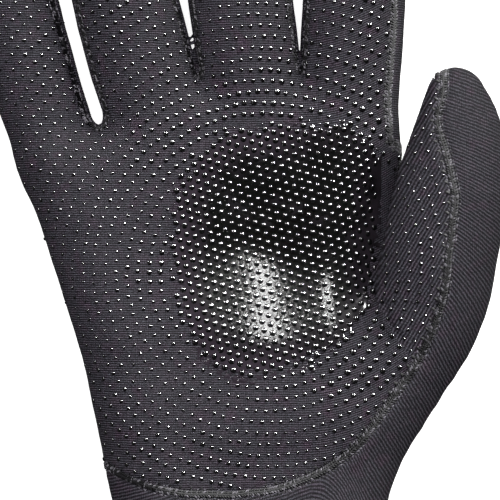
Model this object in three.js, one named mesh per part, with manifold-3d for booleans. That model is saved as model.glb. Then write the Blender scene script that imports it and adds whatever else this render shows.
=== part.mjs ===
/*
 * A right-hand diving glove in 3 mm foamed rubber faced with nylon jersey.
 *
 * The glove lies on its back with the palm up. X runs towards the thumb, Y towards
 * the fingertips and Z up out of the palm. The origin is on the flat of the back,
 * under the middle of the palm. Lengths are in millimetres.
 *
 * The outer form is one field, negative inside the glove: a slab with the plan of
 * the palm and cuff, four fingers and a thumb, blended together. A skin is meshed
 * on the field's zero level and cut along the seams, and each cut piece is given
 * the thickness of the sheet. The pieces are the panels that a maker cuts out and
 * glues edge to edge, and the rubber grip pad that is printed on the palm.
 */

import Module from "manifold-3d";
import * as THREE from "three";

const wasm = await Module();
wasm.setup();

// Sheet and seams.
const sheetThickness = 3;
const seamGap = 0.3;
const padThickness = 0.6;
const padClearance = 0.3;

// Hand sizes.
const fingerWidth = 31;
const fingerFlatness = 0.88;
const fingerLength = 116;
const fingerCurl = 14;
const thumbWidth = 33.4;
const thumbLength = 112;
const palmLength = 120;
const palmThickness = 36;

// Cuff sizes.
const wristWidth = 78;
const cuffWidth = 86;
const cuffHeight = 45;
const cuffLength = 62;

// How far the resting side is pressed flat, and how softly the forms run together.
const restingPress = 1.5;
const restingRound = 1.2;
const webBlend = 5;
const thumbCrease = 12;
const thumbBlend = 12;

// Side strips between the front and back panels: half their height at the finger roots.
const stripHalfHeight = 5;
const indexStripHalfHeight = 8;

// Length of a mesh edge across the glove, and how much longer it is along the
// fingers and along the cuff. snapShare is how much of an edge a vertex may move to
// lie on a seam.
const meshStep = 6.4;
const alongFingers = 1.7;
const alongCuff = 2.6;
const snapShare = 0.25;
const relaxPasses = 5;
const normalPasses = 2;
const foldPasses = 12;
const thinnestShare = 0.4;
const touchVolume = 1e-4;
const gapSliver = 0.3;

/*
 * Fingers, from the little finger to the index. pitch is the step from the finger
 * before, at the roots; width, length and pitch are shares of fingerWidth and
 * fingerLength. splay is the lean towards the little finger at the root, and bend
 * how much of it is gone at the tip, both in degrees. web is where the gap to the
 * finger before closes, as a share of palmLength.
 */
const fingers = [
  { name: "little", pitch: 0, width: 0.84, length: 0.675, splay: 21, bend: -10, web: 0 },
  { name: "ring", pitch: 1.02, width: 1.01, length: 0.9, splay: 17.5, bend: -4, web: 0.37 },
  { name: "middle", pitch: 0.85, width: 1, length: 1, splay: 8.6, bend: -2, web: 0.475 },
  { name: "index", pitch: 0.75, width: 0.985, length: 0.915, splay: -3.6, bend: 1, web: 0.475 },
];
const fingerSpan = fingers.reduce((sum, finger) => sum + finger.pitch, 0) * fingerWidth;
const knuckleWidth = fingerSpan + (fingerWidth * (fingers[0].width + fingers[3].width)) / 2;
const fingerRoot = { across: 0.25 * knuckleWidth, along: 0.25 * palmLength };
const fingerStations = 7;
const rootShare = 0.94;
const tipShare = 0.8;

/*
 * The thumb, from its tip to the heel of the hand. across and along are shares of
 * knuckleWidth and thumbLength from the origin, height is a share of palmThickness,
 * radius a share of thumbWidth, and seam is how far the front seam lies from the
 * axis, as a share of the radius.
 */
const thumb = [
  { across: 0.538, along: 0.441, height: 0.86, radius: 0.255, seam: -0.5 },
  { across: 0.543, along: 0.375, height: 0.85, radius: 0.345, seam: -0.58 },
  { across: 0.54, along: 0.3, height: 0.84, radius: 0.42, seam: -0.28 },
  { across: 0.526, along: 0.2, height: 0.82, radius: 0.483, seam: 0 },
  { across: 0.495, along: 0.04, height: 0.77, radius: 0.5, seam: 0.12 },
  { across: 0.475, along: -0.075, height: 0.71, radius: 0.49, seam: 0.15 },
  { across: 0.418, along: -0.2, height: 0.64, radius: 0.47, seam: 0.25 },
];
const heel = [
  { across: 0.31, along: -0.36, height: 0.56, radius: 0.36 },
  { across: 0.21, along: -0.5, height: 0.53, radius: 0.3 },
];

// Plan of the palm, from the wrist up the little-finger side and down the thumb
// side, in shares of knuckleWidth and palmLength.
const palmOutline = [
  { across: -0.378, along: -0.5 },
  { across: -0.424, along: -0.26 },
  { across: -0.475, along: -0.1 },
  { across: -0.533, along: 0.06 },
  { across: -0.583, along: 0.18 },
  { across: -0.612, along: 0.275 },
  { across: -0.56, along: 0.345 },
  { across: -0.41, along: 0.335 },
  { across: -0.27, along: 0.425 },
  { across: -0.135, along: 0.46 },
  { across: 0.123, along: 0.462 },
  { across: 0.29, along: 0.455 },
  { across: 0.382, along: 0.35 },
  { across: 0.405, along: 0.17 },
  { across: 0.43, along: -0.02 },
  { across: 0.45, along: -0.2 },
  { across: 0.425, along: -0.33 },
  { across: 0.38, along: -0.45 },
];

// Depth of the hand along the palm, in shares of palmLength and palmThickness.
// lift is how far the back stands off the surface that the glove lies on.
const palmSections = [
  { along: 0.56, depth: 0.72, lift: 0 },
  { along: 0.36, depth: 0.76, lift: 0 },
  { along: 0.1, depth: 0.9, lift: 0 },
  { along: -0.2, depth: 1.04, lift: 0 },
  { along: -0.42, depth: 1.1, lift: 0.03 },
];

// Hollows and mounds of the palm: a soft groove from one point to another, in
// shares of knuckleWidth and palmLength, with its width and depth in shares of
// palmThickness. A negative depth is a mound.
const palmForms = [
  { name: "cup", from: [0.02, 0.12], to: [0.2, -0.02], width: 0.75, depth: 0.13 },
  { name: "thumb crease", from: [0.35, 0.2], to: [0.345, -0.1], width: 0.26, depth: 0.16 },
  { name: "outer heel", from: [-0.36, -0.28], to: [-0.42, 0.02], width: 0.5, depth: -0.06 },
  { name: "thumb heel", from: [0.25, -0.3], to: [0.33, -0.2], width: 0.5, depth: -0.06 },
  { name: "finger pads", from: [-0.42, 0.26], to: [0.2, 0.36], width: 0.3, depth: -0.04 },
  { name: "heel crease", from: [-0.05, -0.5], to: [0.2, -0.46], width: 0.3, depth: 0.06 },
];

// Front seam over the heel, from the thumb's lowest station round to the
// little-finger side, in shares of knuckleWidth and palmLength.
const heelSeam = [
  { across: 0.357, along: -0.321 },
  { across: 0.256, along: -0.435 },
  { across: 0.097, along: -0.511 },
  { across: -0.071, along: -0.532 },
  { across: -0.238, along: -0.518 },
  { across: -0.37, along: -0.475 },
  { across: -0.5, along: -0.41 },
];

// Foot of the thumb's front panel, where it runs into the palm, in the same shares.
const thumbFoot = [
  { across: 0.32, along: -0.05 },
  { across: 0.345, along: -0.1 },
  { across: 0.385, along: -0.17 },
  { across: 0.46, along: -0.24 },
];

// Edge of the printed pad, in the same shares.
const padOutline = [
  { across: -0.196, along: 0.083 },
  { across: -0.17, along: 0.214 },
  { across: -0.092, along: 0.297 },
  { across: 0.04, along: 0.333 },
  { across: 0.184, along: 0.328 },
  { across: 0.275, along: 0.283 },
  { across: 0.31, along: 0.2 },
  { across: 0.3, along: 0.1 },
  { across: 0.285, along: 0 },
  { across: 0.27, along: -0.083 },
  { across: 0.23, along: -0.167 },
  { across: 0.13, along: -0.213 },
  { across: 0, along: -0.238 },
  { across: -0.11, along: -0.192 },
  { across: -0.174, along: -0.083 },
];

const wristAlong = -0.6 * palmLength;
const cuffSeam = wristAlong - 0.06 * palmLength;
const cuffEnd = wristAlong - cuffLength;
const cuffOverrun = 40;
const indexStripStart = 0.3 * palmLength;

// Numbers

function mix(a, b, share) {
  return a + (b - a) * share;
}

function smoothStep(low, high, value) {
  const share = THREE.MathUtils.clamp((value - low) / (high - low), 0, 1);
  return share * share * (3 - 2 * share);
}

function smoothMin(a, b, blend) {
  const overlap = Math.max(blend - Math.abs(a - b), 0) / blend;
  return Math.min(a, b) - (overlap * overlap * blend) / 4;
}

function smoothMax(a, b, blend) {
  return -smoothMin(-a, -b, blend);
}

// Plan curves

function onPalm(point) {
  return new THREE.Vector2(point.across * knuckleWidth, point.along * palmLength);
}

function smoothCurve(points, closed, divisions) {
  const raised = points.map((point) => new THREE.Vector3(point.x, point.y, 0));
  const curve = new THREE.CatmullRomCurve3(raised, closed, "centripetal");
  const sampled = curve.getPoints(divisions * points.length);
  if (closed) sampled.pop();
  return sampled.map((point) => new THREE.Vector2(point.x, point.y));
}

// Distance in plan to a curve. A closed curve has it negative inside, and an open
// curve negative on the left of its way from first point to last.
function planDistance(curve, closed, x, y) {
  let nearest = Infinity;
  let inside = false;
  let leftOf = 1;
  const count = closed ? curve.length : curve.length - 1;
  for (let i = 0; i < count; i += 1) {
    const a = curve[i];
    const b = curve[(i + 1) % curve.length];
    const ux = b.x - a.x;
    const uy = b.y - a.y;
    const along = ((x - a.x) * ux + (y - a.y) * uy) / (ux * ux + uy * uy);
    const reach = THREE.MathUtils.clamp(along, 0, 1);
    const distance = Math.hypot(x - a.x - reach * ux, y - a.y - reach * uy);
    if (distance < nearest) {
      nearest = distance;
      leftOf = Math.sign(ux * (y - a.y) - uy * (x - a.x)) || 1;
    }
    if (a.y > y !== b.y > y && x < a.x + ((y - a.y) / uy) * ux) inside = !inside;
  }
  if (closed) return inside ? -nearest : nearest;
  return -leftOf * nearest;
}

const wristHalf = wristWidth / 2;
const cuffHalf = cuffWidth / 2;
const slabOutline = smoothCurve(
  [
    { x: -cuffHalf, y: cuffEnd - cuffOverrun },
    { x: -cuffHalf, y: cuffEnd },
    { x: -wristHalf, y: wristAlong },
    ...palmOutline.map(onPalm),
    { x: wristHalf, y: wristAlong },
    { x: cuffHalf, y: cuffEnd },
    { x: cuffHalf, y: cuffEnd - cuffOverrun },
  ],
  true,
  3,
);
const padEdge = smoothCurve(padOutline.map(onPalm), true, 4);
const thumbFootCurve = smoothCurve(thumbFoot.map(onPalm), false, 4);

// Digits

function fingerChain(finger, index) {
  const steps = fingers.slice(index + 1).reduce((sum, next) => sum + next.pitch, 0);
  const half = (fingerWidth * finger.width) / 2;
  const tipHalf = half * tipShare;
  const reach = fingerLength * finger.length - tipHalf;
  const rise = fingerCurl * finger.length;
  const chain = [];
  let across = fingerRoot.across - steps * fingerWidth;
  let along = fingerRoot.along;
  for (let i = 0; i < fingerStations; i += 1) {
    const share = i / (fingerStations - 1);
    const filled = half * mix(rootShare, 1, smoothStep(0, 0.55, share));
    const radius = mix(filled, tipHalf, share ** 3);
    const height = half * fingerFlatness - restingPress / 2 + rise * share * share;
    chain.push({ x: across, y: along, z: height, radius });
    const lean = THREE.MathUtils.degToRad(finger.splay + finger.bend * smoothStep(0, 0.6, share));
    across -= (Math.sin(lean) * reach) / (fingerStations - 1);
    along += (Math.cos(lean) * reach) / (fingerStations - 1);
  }
  return { name: finger.name, web: finger.web * palmLength, flatness: fingerFlatness, stations: chain };
}

const fingerChains = fingers.map(fingerChain);

const thumbChain = {
  name: "thumb",
  flatness: 1,
  stations: [
    ...thumb.map((row) => ({ ...row, y: row.along * thumbLength })),
    ...heel.map((row) => ({ ...row, y: row.along * palmLength })),
  ].map((row) => ({
    x: row.across * knuckleWidth,
    y: row.y,
    z: row.height * palmThickness,
    radius: row.radius * thumbWidth,
    seam: row.seam,
  })),
};

// Distance to the skin of a digit, and how far along its stations the nearest point is.
function digitField(digit, x, y, z) {
  let best = { distance: Infinity, share: 0, height: 0, radius: 1, x: 0 };
  const last = digit.stations.length - 1;
  for (let i = 0; i < last; i += 1) {
    const a = digit.stations[i];
    const b = digit.stations[i + 1];
    const ux = b.x - a.x;
    const uy = b.y - a.y;
    const uz = b.z - a.z;
    const along = ((x - a.x) * ux + (y - a.y) * uy + (z - a.z) * uz) / (ux * ux + uy * uy + uz * uz);
    const reach = THREE.MathUtils.clamp(along, 0, 1);
    const height = a.z + reach * uz;
    const centre = a.x + reach * ux;
    const radius = mix(a.radius, b.radius, reach);
    const distance =
      Math.hypot(x - centre, y - a.y - reach * uy, (z - height) / digit.flatness) - radius;
    if (distance < best.distance) {
      best = { distance, share: (i + reach) / last, height, radius, x: centre };
    }
  }
  return best;
}

function digitAt(digit, y) {
  const { stations } = digit;
  let i = 1;
  while (i < stations.length - 1 && stations[i].y < y) i += 1;
  const a = stations[i - 1];
  const b = stations[i];
  const share = (y - a.y) / (b.y - a.y);
  const widening = Math.hypot(b.x - a.x, b.y - a.y) / (b.y - a.y);
  const radius = mix(a.radius, b.radius, THREE.MathUtils.clamp(share, 0, 1));
  return { x: mix(a.x, b.x, share), half: radius * widening };
}

// Palm and cuff

const slabSections = [
  ...palmSections.map((row) => ({
    y: row.along * palmLength,
    half: (row.depth * palmThickness) / 2,
    lift: row.lift * palmThickness,
  })),
  { y: wristAlong, half: mix(palmThickness, cuffHeight, 0.45) / 2, lift: 0.05 * palmThickness },
  { y: cuffEnd, half: cuffHeight / 2, lift: 0 },
];

function sectionAt(y) {
  const below = slabSections.findIndex((row) => row.y <= y);
  if (below === 0) return slabSections[0];
  if (below < 0) return slabSections.at(-1);
  const low = slabSections[below];
  const high = slabSections[below - 1];
  const share = smoothStep(low.y, high.y, y);
  return { half: mix(low.half, high.half, share), lift: mix(low.lift, high.lift, share) };
}

const grooves = palmForms.map((form) => {
  const from = onPalm({ across: form.from[0], along: form.from[1] });
  const to = onPalm({ across: form.to[0], along: form.to[1] });
  return { from, run: to.sub(from), width: form.width * palmThickness, depth: form.depth * palmThickness };
});

function grooveDepth(x, y) {
  return grooves.reduce((sum, { from, run, width, depth }) => {
    const along = ((x - from.x) * run.x + (y - from.y) * run.y) / run.lengthSq();
    const reach = THREE.MathUtils.clamp(along, 0, 1);
    const away = Math.hypot(x - from.x - reach * run.x, y - from.y - reach * run.y);
    return sum + depth * Math.exp(-((away / width) ** 2));
  }, 0);
}

function slabField(x, y, z) {
  const section = sectionAt(y);
  const edge = planDistance(slabOutline, true, x, y);
  const middle = section.half + section.lift - restingPress;
  const flat = Math.hypot(Math.max(edge + section.half, 0), z - middle) - section.half;
  const onFront = smoothStep(middle - section.half * 0.2, middle + section.half * 0.6, z);
  return flat + grooveDepth(x, y) * onFront;
}

// The whole form

function handField(x, y, z) {
  const slab = slabField(x, y, z);
  const digits = fingerChains.map((chain) => digitField(chain, x, y, z).distance);
  return smoothMin(slab, Math.min(...digits), webBlend);
}

function gloveField(x, y, z) {
  const hand = handField(x, y, z);
  const digit = digitField(thumbChain, x, y, z).distance;
  const blend = mix(thumbBlend, thumbCrease, smoothStep(-0.25 * palmLength, 0, y));
  return smoothMax(smoothMin(hand, digit, blend), -z, restingRound);
}

const probe = 0.05;

function gradient(point) {
  const { x, y, z } = point;
  return new THREE.Vector3(
    gloveField(x + probe, y, z) - gloveField(x - probe, y, z),
    gloveField(x, y + probe, z) - gloveField(x, y - probe, z),
    gloveField(x, y, z + probe) - gloveField(x, y, z - probe),
  ).divideScalar(2 * probe);
}

// Meshing the skin

// Grid columns run along the fingers, with a pair of them in each gap between two.
function gapColumn(index, y) {
  const before = digitAt(fingerChains[index - 1], Math.max(y, fingerChains[index].web));
  const after = digitAt(fingerChains[index], Math.max(y, fingerChains[index].web));
  return (before.x + before.half + after.x - after.half) / 2;
}

const allStations = [...fingerChains, thumbChain].flatMap((digit) => digit.stations);
const room = 1.2 * meshStep;
const low = {
  x: Math.min(...allStations.map((station) => station.x - station.radius)) - room,
  y: cuffEnd - 0.8 * cuffOverrun,
  z: -1.45 * meshStep,
};
const high = {
  x: Math.max(...allStations.map((station) => station.x + station.radius)) + room,
  y: Math.max(...allStations.map((station) => station.y + station.radius)) + room,
  z: Math.max(...allStations.map((station) => station.z + station.radius)) + room,
};

function evenly(from, to, count) {
  return Array.from({ length: count + 1 }, (_, i) => mix(from, to, i / count));
}

function gridColumns(y, counts) {
  const gaps = [1, 2, 3].map((index) => gapColumn(index, y));
  const starts = [low.x, ...gaps.map((gap) => gap + gapSliver)];
  const ends = [...gaps.map((gap) => gap - gapSliver), high.x];
  return starts.flatMap((start, i) => evenly(start, ends[i], counts[i]));
}

// Grid rows are close together at the fingertips and the webs, and further apart
// where the form changes slowly.
function rowStep(y) {
  const webs = fingerChains.slice(1).map((chain) => chain.web);
  const tips = fingerChains.map((chain) => chain.stations.at(-1).y);
  if (y > Math.min(...tips) - 2 * meshStep) return meshStep;
  if (y > Math.min(...webs) - 2 * meshStep && y < Math.max(...webs) + meshStep) return meshStep;
  return y < cuffSeam ? alongCuff * meshStep : alongFingers * meshStep;
}

function gridRows() {
  const rows = [low.y];
  while (rows.at(-1) < high.y) rows.push(rows.at(-1) + rowStep(rows.at(-1)));
  return rows;
}

function makeGrid() {
  const rows = gridRows();
  const levels = evenly(low.z, high.z, Math.ceil((high.z - low.z) / meshStep));
  const roots = [1, 2, 3].map((index) => gapColumn(index, high.y * 0.6));
  const spans = [low.x, ...roots, high.x];
  const counts = [0, 1, 2, 3].map((i) => Math.ceil((spans[i + 1] - spans[i]) / meshStep));
  const columns = rows.map((y) => gridColumns(y, counts));
  const size = [columns[0].length, rows.length, levels.length];
  const at = (i, j, k) => (k * size[1] + j) * size[0] + i;
  const values = new Float64Array(size[0] * size[1] * size[2]);
  for (let k = 0; k < size[2]; k += 1) {
    for (let j = 0; j < size[1]; j += 1) {
      for (let i = 0; i < size[0]; i += 1) {
        values[at(i, j, k)] = gloveField(columns[j][i], rows[j], levels[k]);
      }
    }
  }
  const place = (i, j, k) => new THREE.Vector3(columns[j][i], rows[j], levels[k]);
  return { size, values, at, place };
}

const corners = [0, 1, 2, 3, 4, 5, 6, 7].map((c) => [c & 1, (c >> 1) & 1, c >> 2]);
const edges = corners.flatMap((_, c) => [1, 2, 4].filter((bit) => !(c & bit)).map((bit) => [c, c | bit]));

// Which part of the solid each corner of a cell belongs to, so that two walls that
// pass through one cell get a vertex each.
function insideParts(inside) {
  const part = inside.map((yes, c) => (yes ? c : -1));
  for (let pass = 0; pass < 3; pass += 1) {
    edges.forEach(([a, b]) => {
      if (inside[a] && inside[b]) part[a] = part[b] = Math.min(part[a], part[b]);
    });
  }
  return part;
}

function settle(point) {
  for (let pass = 0; pass < 4; pass += 1) {
    const slope = gradient(point);
    const step = gloveField(point.x, point.y, point.z) / Math.max(slope.lengthSq(), 0.25);
    point.addScaledVector(slope, -step);
  }
  return point;
}

// A closed skin of four-sided faces on the field's zero level.
function meshSkin() {
  const grid = makeGrid();
  const [columns, rows, levels] = grid.size;
  const points = [];
  const cellVertex = new Map();
  for (let k = 0; k < levels - 1; k += 1) {
    for (let j = 0; j < rows - 1; j += 1) {
      for (let i = 0; i < columns - 1; i += 1) {
        const cell = corners.map(([a, b, c]) => [i + a, j + b, k + c]);
        const values = cell.map((corner) => grid.values[grid.at(...corner)]);
        const inside = values.map((value) => value < 0);
        if (inside.every(Boolean) || !inside.some(Boolean)) continue;
        const part = insideParts(inside);
        const sums = new Map();
        edges.forEach(([a, b]) => {
          if (inside[a] === inside[b]) return;
          const share = values[a] / (values[a] - values[b]);
          const crossing = grid.place(...cell[a]).lerp(grid.place(...cell[b]), share);
          const key = inside[a] ? part[a] : part[b];
          if (!sums.has(key)) sums.set(key, { total: new THREE.Vector3(), count: 0 });
          sums.get(key).total.add(crossing);
          sums.get(key).count += 1;
        });
        sums.forEach(({ total, count }, key) => {
          cellVertex.set(`${i},${j},${k},${key}`, points.length);
          points.push(settle(total.divideScalar(count)));
        });
        cellVertex.set(`${i},${j},${k}`, part);
      }
    }
  }
  const faces = [];
  const axes = [
    [1, 0, 0],
    [0, 1, 0],
    [0, 0, 1],
  ];
  const vertexOf = (i, j, k, corner) => {
    const part = cellVertex.get(`${i},${j},${k}`);
    return cellVertex.get(`${i},${j},${k},${part[corner]}`);
  };
  for (let k = 1; k < levels - 1; k += 1) {
    for (let j = 1; j < rows - 1; j += 1) {
      for (let i = 1; i < columns - 1; i += 1) {
        axes.forEach((axis, n) => {
          const here = grid.values[grid.at(i, j, k)] < 0;
          const next = [i + axis[0], j + axis[1], k + axis[2]];
          if (here === grid.values[grid.at(...next)] < 0) return;
          const solid = here ? [i, j, k] : next;
          const u = axes[(n + 1) % 3];
          const v = axes[(n + 2) % 3];
          const ring = [
            [0, 0],
            [1, 0],
            [1, 1],
            [0, 1],
          ].map(([a, b]) => {
            const cell = [0, 1, 2].map((d) => [i, j, k][d] - a * u[d] - b * v[d]);
            const corner = [0, 1, 2].reduce((bits, d) => bits | ((solid[d] - cell[d]) << d), 0);
            return vertexOf(...cell, corner);
          });
          faces.push(here ? ring : ring.reverse());
        });
      }
    }
  }
  return { points, faces };
}

let vertexCount = 0;

function makeVertex(point, normal) {
  vertexCount += 1;
  return { id: vertexCount, point, normal, depth: sheetThickness };
}

// Evens out the faces by moving each point towards the middle of its neighbours and
// back onto the skin.
function relax({ points, faces }) {
  const neighbours = points.map(() => new Set());
  faces.forEach((ring) => {
    ring.forEach((i, n) => neighbours[i].add(ring[(n + 1) % 4]).add(ring[(n + 3) % 4]));
  });
  for (let pass = 0; pass < relaxPasses; pass += 1) {
    const middles = neighbours.map((around) => {
      const sum = [...around].reduce((total, i) => total.add(points[i]), new THREE.Vector3());
      return sum.divideScalar(around.size);
    });
    middles.forEach((middle, i) => settle(points[i].lerp(middle, 0.4)));
  }
  return { points, faces };
}

// Evens out the normals, so that the inner side of the sheet doesn't fold in a crease.
function spreadNormals(vertices, triangles) {
  const sums = new Map(vertices.map((vertex) => [vertex, new THREE.Vector3()]));
  triangles.forEach((triangle) => {
    const total = new THREE.Vector3();
    triangle.forEach((vertex) => total.add(vertex.normal));
    triangle.forEach((vertex) => sums.get(vertex).add(total));
  });
  sums.forEach((sum, vertex) => vertex.normal.copy(sum.normalize()));
}

function dressSkin({ points, faces }) {
  const vertices = points.map((point) => makeVertex(point, new THREE.Vector3()));
  const triangles = faces.flatMap((ring) => {
    const [a, b, c, d] = ring.map((i) => vertices[i]);
    const shortFirst = a.point.distanceTo(c.point) <= b.point.distanceTo(d.point);
    return shortFirst ? [[a, b, c], [a, c, d]] : [[a, b, d], [b, c, d]];
  });
  triangles.forEach((triangle) => {
    const face = facing(triangle.map((vertex) => vertex.point));
    triangle.forEach((vertex) => vertex.normal.add(face));
  });
  vertices.forEach((vertex) => vertex.normal.normalize());
  for (let pass = 0; pass < normalPasses; pass += 1) spreadNormals(vertices, triangles);
  return triangles;
}

// Cutting the skin into panels

function sidesOf([a, b, c]) {
  return [[a, b], [b, c], [c, a]];
}

// The edges that only one triangle has, in the direction that it goes round.
function borderEdges(triangles) {
  const open = new Map();
  triangles.flatMap(sidesOf).forEach(([a, b]) => {
    if (!open.delete(`${b.id},${a.id}`)) open.set(`${a.id},${b.id}`, [a, b]);
  });
  return [...open.values()];
}

// The point on the skin that is nearest to one just off it. In a tight crease, where
// that would be far away, the point stays.
function settleNear(point) {
  const settled = settle(point.clone());
  return settled.distanceTo(point) < snapShare * meshStep ? settled : point;
}

// The slope of a function of position, along the skin.
function slopeOnSkin(side, { point, normal }) {
  const slope = new THREE.Vector3();
  ["x", "y", "z"].forEach((axis) => {
    const ahead = point.clone();
    const behind = point.clone();
    ahead[axis] += probe;
    behind[axis] -= probe;
    slope[axis] = (side(ahead) - side(behind)) / (2 * probe);
  });
  return slope.projectOnPlane(normal);
}

// Moves the vertices that lie close to a cut onto it, so that the cut leaves no
// slivers. Vertices on the patch's border only move along the border.
function snapToCut(triangles, side, level) {
  const crossed = ([a, b]) => level.get(a) * level.get(b) < 0;
  const border = borderEdges(triangles);
  const onBorder = new Set(border.flat());
  const moves = new Map();
  border.filter(crossed).forEach(([a, b]) => {
    const share = level.get(a) / (level.get(a) - level.get(b));
    if (share < snapShare) moves.set(a, a.point.clone().lerp(b.point, share));
    if (1 - share < snapShare) moves.set(b, b.point.clone().lerp(a.point, 1 - share));
  });
  const near = new Set(triangles.flatMap(sidesOf).filter(crossed).flat());
  near.forEach((vertex) => {
    if (onBorder.has(vertex)) return;
    const slope = slopeOnSkin(side, vertex);
    const step = level.get(vertex) / Math.max(slope.lengthSq(), 0.1);
    if (Math.abs(step) * slope.length() > snapShare * meshStep) return;
    moves.set(vertex, settleNear(vertex.point.clone().addScaledVector(slope, -step)));
  });
  moves.forEach((place, vertex) => {
    vertex.point = place;
    level.set(vertex, 0);
  });
}

// Cuts a patch in two where the function of position changes sign.
function splitPatch(triangles, side) {
  const level = new Map();
  triangles.flat().forEach((vertex) => level.set(vertex, side(vertex.point)));
  snapToCut(triangles, side, level);
  const borders = new Set(borderEdges(triangles).flatMap(([a, b]) => [`${a.id},${b.id}`, `${b.id},${a.id}`]));
  const made = new Map();
  const crossing = (from, to) => {
    const [a, b] = from.id < to.id ? [from, to] : [to, from];
    const key = `${a.id},${b.id}`;
    if (!made.has(key)) {
      const share = level.get(a) / (level.get(a) - level.get(b));
      const point = a.point.clone().lerp(b.point, share);
      const normal = a.normal.clone().lerp(b.normal, share).normalize();
      made.set(key, makeVertex(borders.has(key) ? point : settleNear(point), normal));
    }
    return made.get(key);
  };
  const keep = (sign) =>
    triangles.flatMap((triangle) => {
      const heights = triangle.map((vertex) => sign * level.get(vertex));
      if (Math.max(...heights) <= 0) {
        const flat = Math.min(...heights) === 0;
        const centre = triangle[0].point.clone().add(triangle[1].point).add(triangle[2].point);
        return flat && sign * side(centre.divideScalar(3)) > 0 ? [triangle] : [];
      }
      const loop = triangle.flatMap((vertex, n) => {
        const next = triangle[(n + 1) % 3];
        const kept = heights[n] >= 0 ? [vertex] : [];
        return heights[n] * heights[(n + 1) % 3] < 0 ? [...kept, crossing(vertex, next)] : kept;
      });
      const first = [loop[0], loop[1], loop[2]];
      return loop.length > 3 ? [first, [loop[0], loop[2], loop[3]]] : [first];
    });
  return [keep(1), keep(-1)];
}

// Separates the largest connected part of a patch from the crumbs a cut can leave.
function mainPart(triangles) {
  const owner = new Map();
  const find = (vertex) => {
    let root = vertex;
    while (owner.get(root) !== root) root = owner.get(root);
    owner.set(vertex, root);
    return root;
  };
  triangles.flat().forEach((vertex) => owner.set(vertex, vertex));
  triangles.forEach(([a, b, c]) => {
    owner.set(find(b), find(a));
    owner.set(find(c), find(a));
  });
  const counts = new Map();
  triangles.forEach(([a]) => counts.set(find(a), (counts.get(find(a)) ?? 0) + 1));
  const [[largest]] = [...counts].sort((first, second) => second[1] - first[1]);
  const main = triangles.filter(([a]) => find(a) === largest);
  return { main, crumbs: triangles.filter(([a]) => find(a) !== largest) };
}

// Cuts a panel out of a patch and gives back the panel and what is left.
function cutPanel(triangles, side) {
  const [inside, outside] = splitPatch(triangles, side);
  const { main, crumbs } = mainPart(inside);
  return [main, [...outside, ...crumbs]];
}

// The vector square to a triangle, twice as long as its area.
function facing([a, b, c]) {
  const across = c.clone().sub(a);
  return b.clone().sub(a).cross(across);
}

// Thins the sheet where its inner side would fold over itself.
function thinFolds(triangles) {
  const innerPlace = (vertex) => vertex.point.clone().addScaledVector(vertex.normal, -vertex.depth);
  for (let pass = 0; pass < foldPasses; pass += 1) {
    const folded = triangles.filter((triangle) => {
      const outer = facing(triangle.map((vertex) => vertex.point));
      const inner = facing(triangle.map(innerPlace));
      return outer.dot(inner) < 0.1 * outer.lengthSq();
    });
    new Set(folded.flat()).forEach((vertex) => {
      vertex.depth = Math.max(0.85 * vertex.depth, thinnestShare * sheetThickness);
    });
  }
}

// The vertices of a patch at an offset along their normals, with the border drawn in
// by half of the seam's gap.
function offsetVertices(triangles, offsetOf) {
  const places = new Map();
  triangles.flat().forEach((vertex) => {
    places.set(vertex, vertex.point.clone().addScaledVector(vertex.normal, offsetOf(vertex)));
  });
  const inwards = new Map();
  borderEdges(triangles).forEach(([a, b]) => {
    const run = places.get(b).clone().sub(places.get(a));
    [a, b].forEach((vertex) => {
      const inward = vertex.normal.clone().cross(run).normalize();
      inwards.set(vertex, [...(inwards.get(vertex) ?? []), inward]);
    });
  });
  inwards.forEach((around, vertex) => {
    const sum = around.reduce((total, inward) => total.add(inward), new THREE.Vector3());
    const mitre = Math.max(sum.length() / around.length, 0.5);
    places.get(vertex).add(sum.setLength(seamGap / 2 / mitre));
  });
  return [...places.values()];
}

// A closed sheet between two offsets from the skin, each a function of the vertex.
function thicken(triangles, outerOf, innerOf) {
  const order = new Map([...new Set(triangles.flat())].map((vertex, i) => [vertex, i]));
  const places = [outerOf, innerOf].flatMap((offsetOf) => offsetVertices(triangles, offsetOf));
  const count = order.size;
  const faces = triangles.flatMap((triangle) => {
    const [a, b, c] = triangle.map((vertex) => order.get(vertex));
    return [a, b, c, a + count, c + count, b + count];
  });
  borderEdges(triangles).forEach((edge) => {
    const [a, b] = edge.map((vertex) => order.get(vertex));
    // Both panels at a seam fold the wall between them along the same diagonal.
    const wall = [b, a, a + count, b + count];
    const turn = edge[0].id < edge[1].id ? 0 : 1;
    const [p, q, r, s] = [0, 1, 2, 3].map((i) => wall[(i + turn) % 4]);
    faces.push(p, q, r, p, r, s);
  });
  const vertProperties = new Float32Array(places.flatMap((place) => place.toArray()));
  const triVerts = new Uint32Array(faces);
  return new wasm.Manifold(new wasm.Mesh({ numProp: 3, vertProperties, triVerts }));
}

// In a tight crease the inner sides of two panels can meet. The later one gives way.
function trimmed(solid, others) {
  const rest = others.filter((other) => solid.intersect(other).volume() > touchVolume);
  if (rest.length === 0) return solid;
  const cut = rest.reduce((left, other) => left.subtract(other), solid);
  return cut.decompose().reduce((best, part) => (part.volume() > best.volume() ? part : best));
}

// Where the panels lie. Each function is positive on its own panel.

const cuffDistance = (point) => cuffSeam - point.y;

const thumbSeamCurve = smoothCurve(
  [
    { x: thumbChain.stations[0].x - 2, y: thumbChain.stations[0].y + thumbWidth },
    ...thumbChain.stations
      .filter((station) => station.seam !== undefined)
      .map((station) => ({ x: station.x + station.seam * station.radius, y: station.y })),
    ...heelSeam.map(onPalm),
  ],
  false,
  3,
);

// Positive on the palm's side of the seam that runs down the thumb and over the heel.
function palmSideOfSeam(point) {
  return planDistance(thumbSeamCurve, false, point.x, point.y);
}

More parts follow.
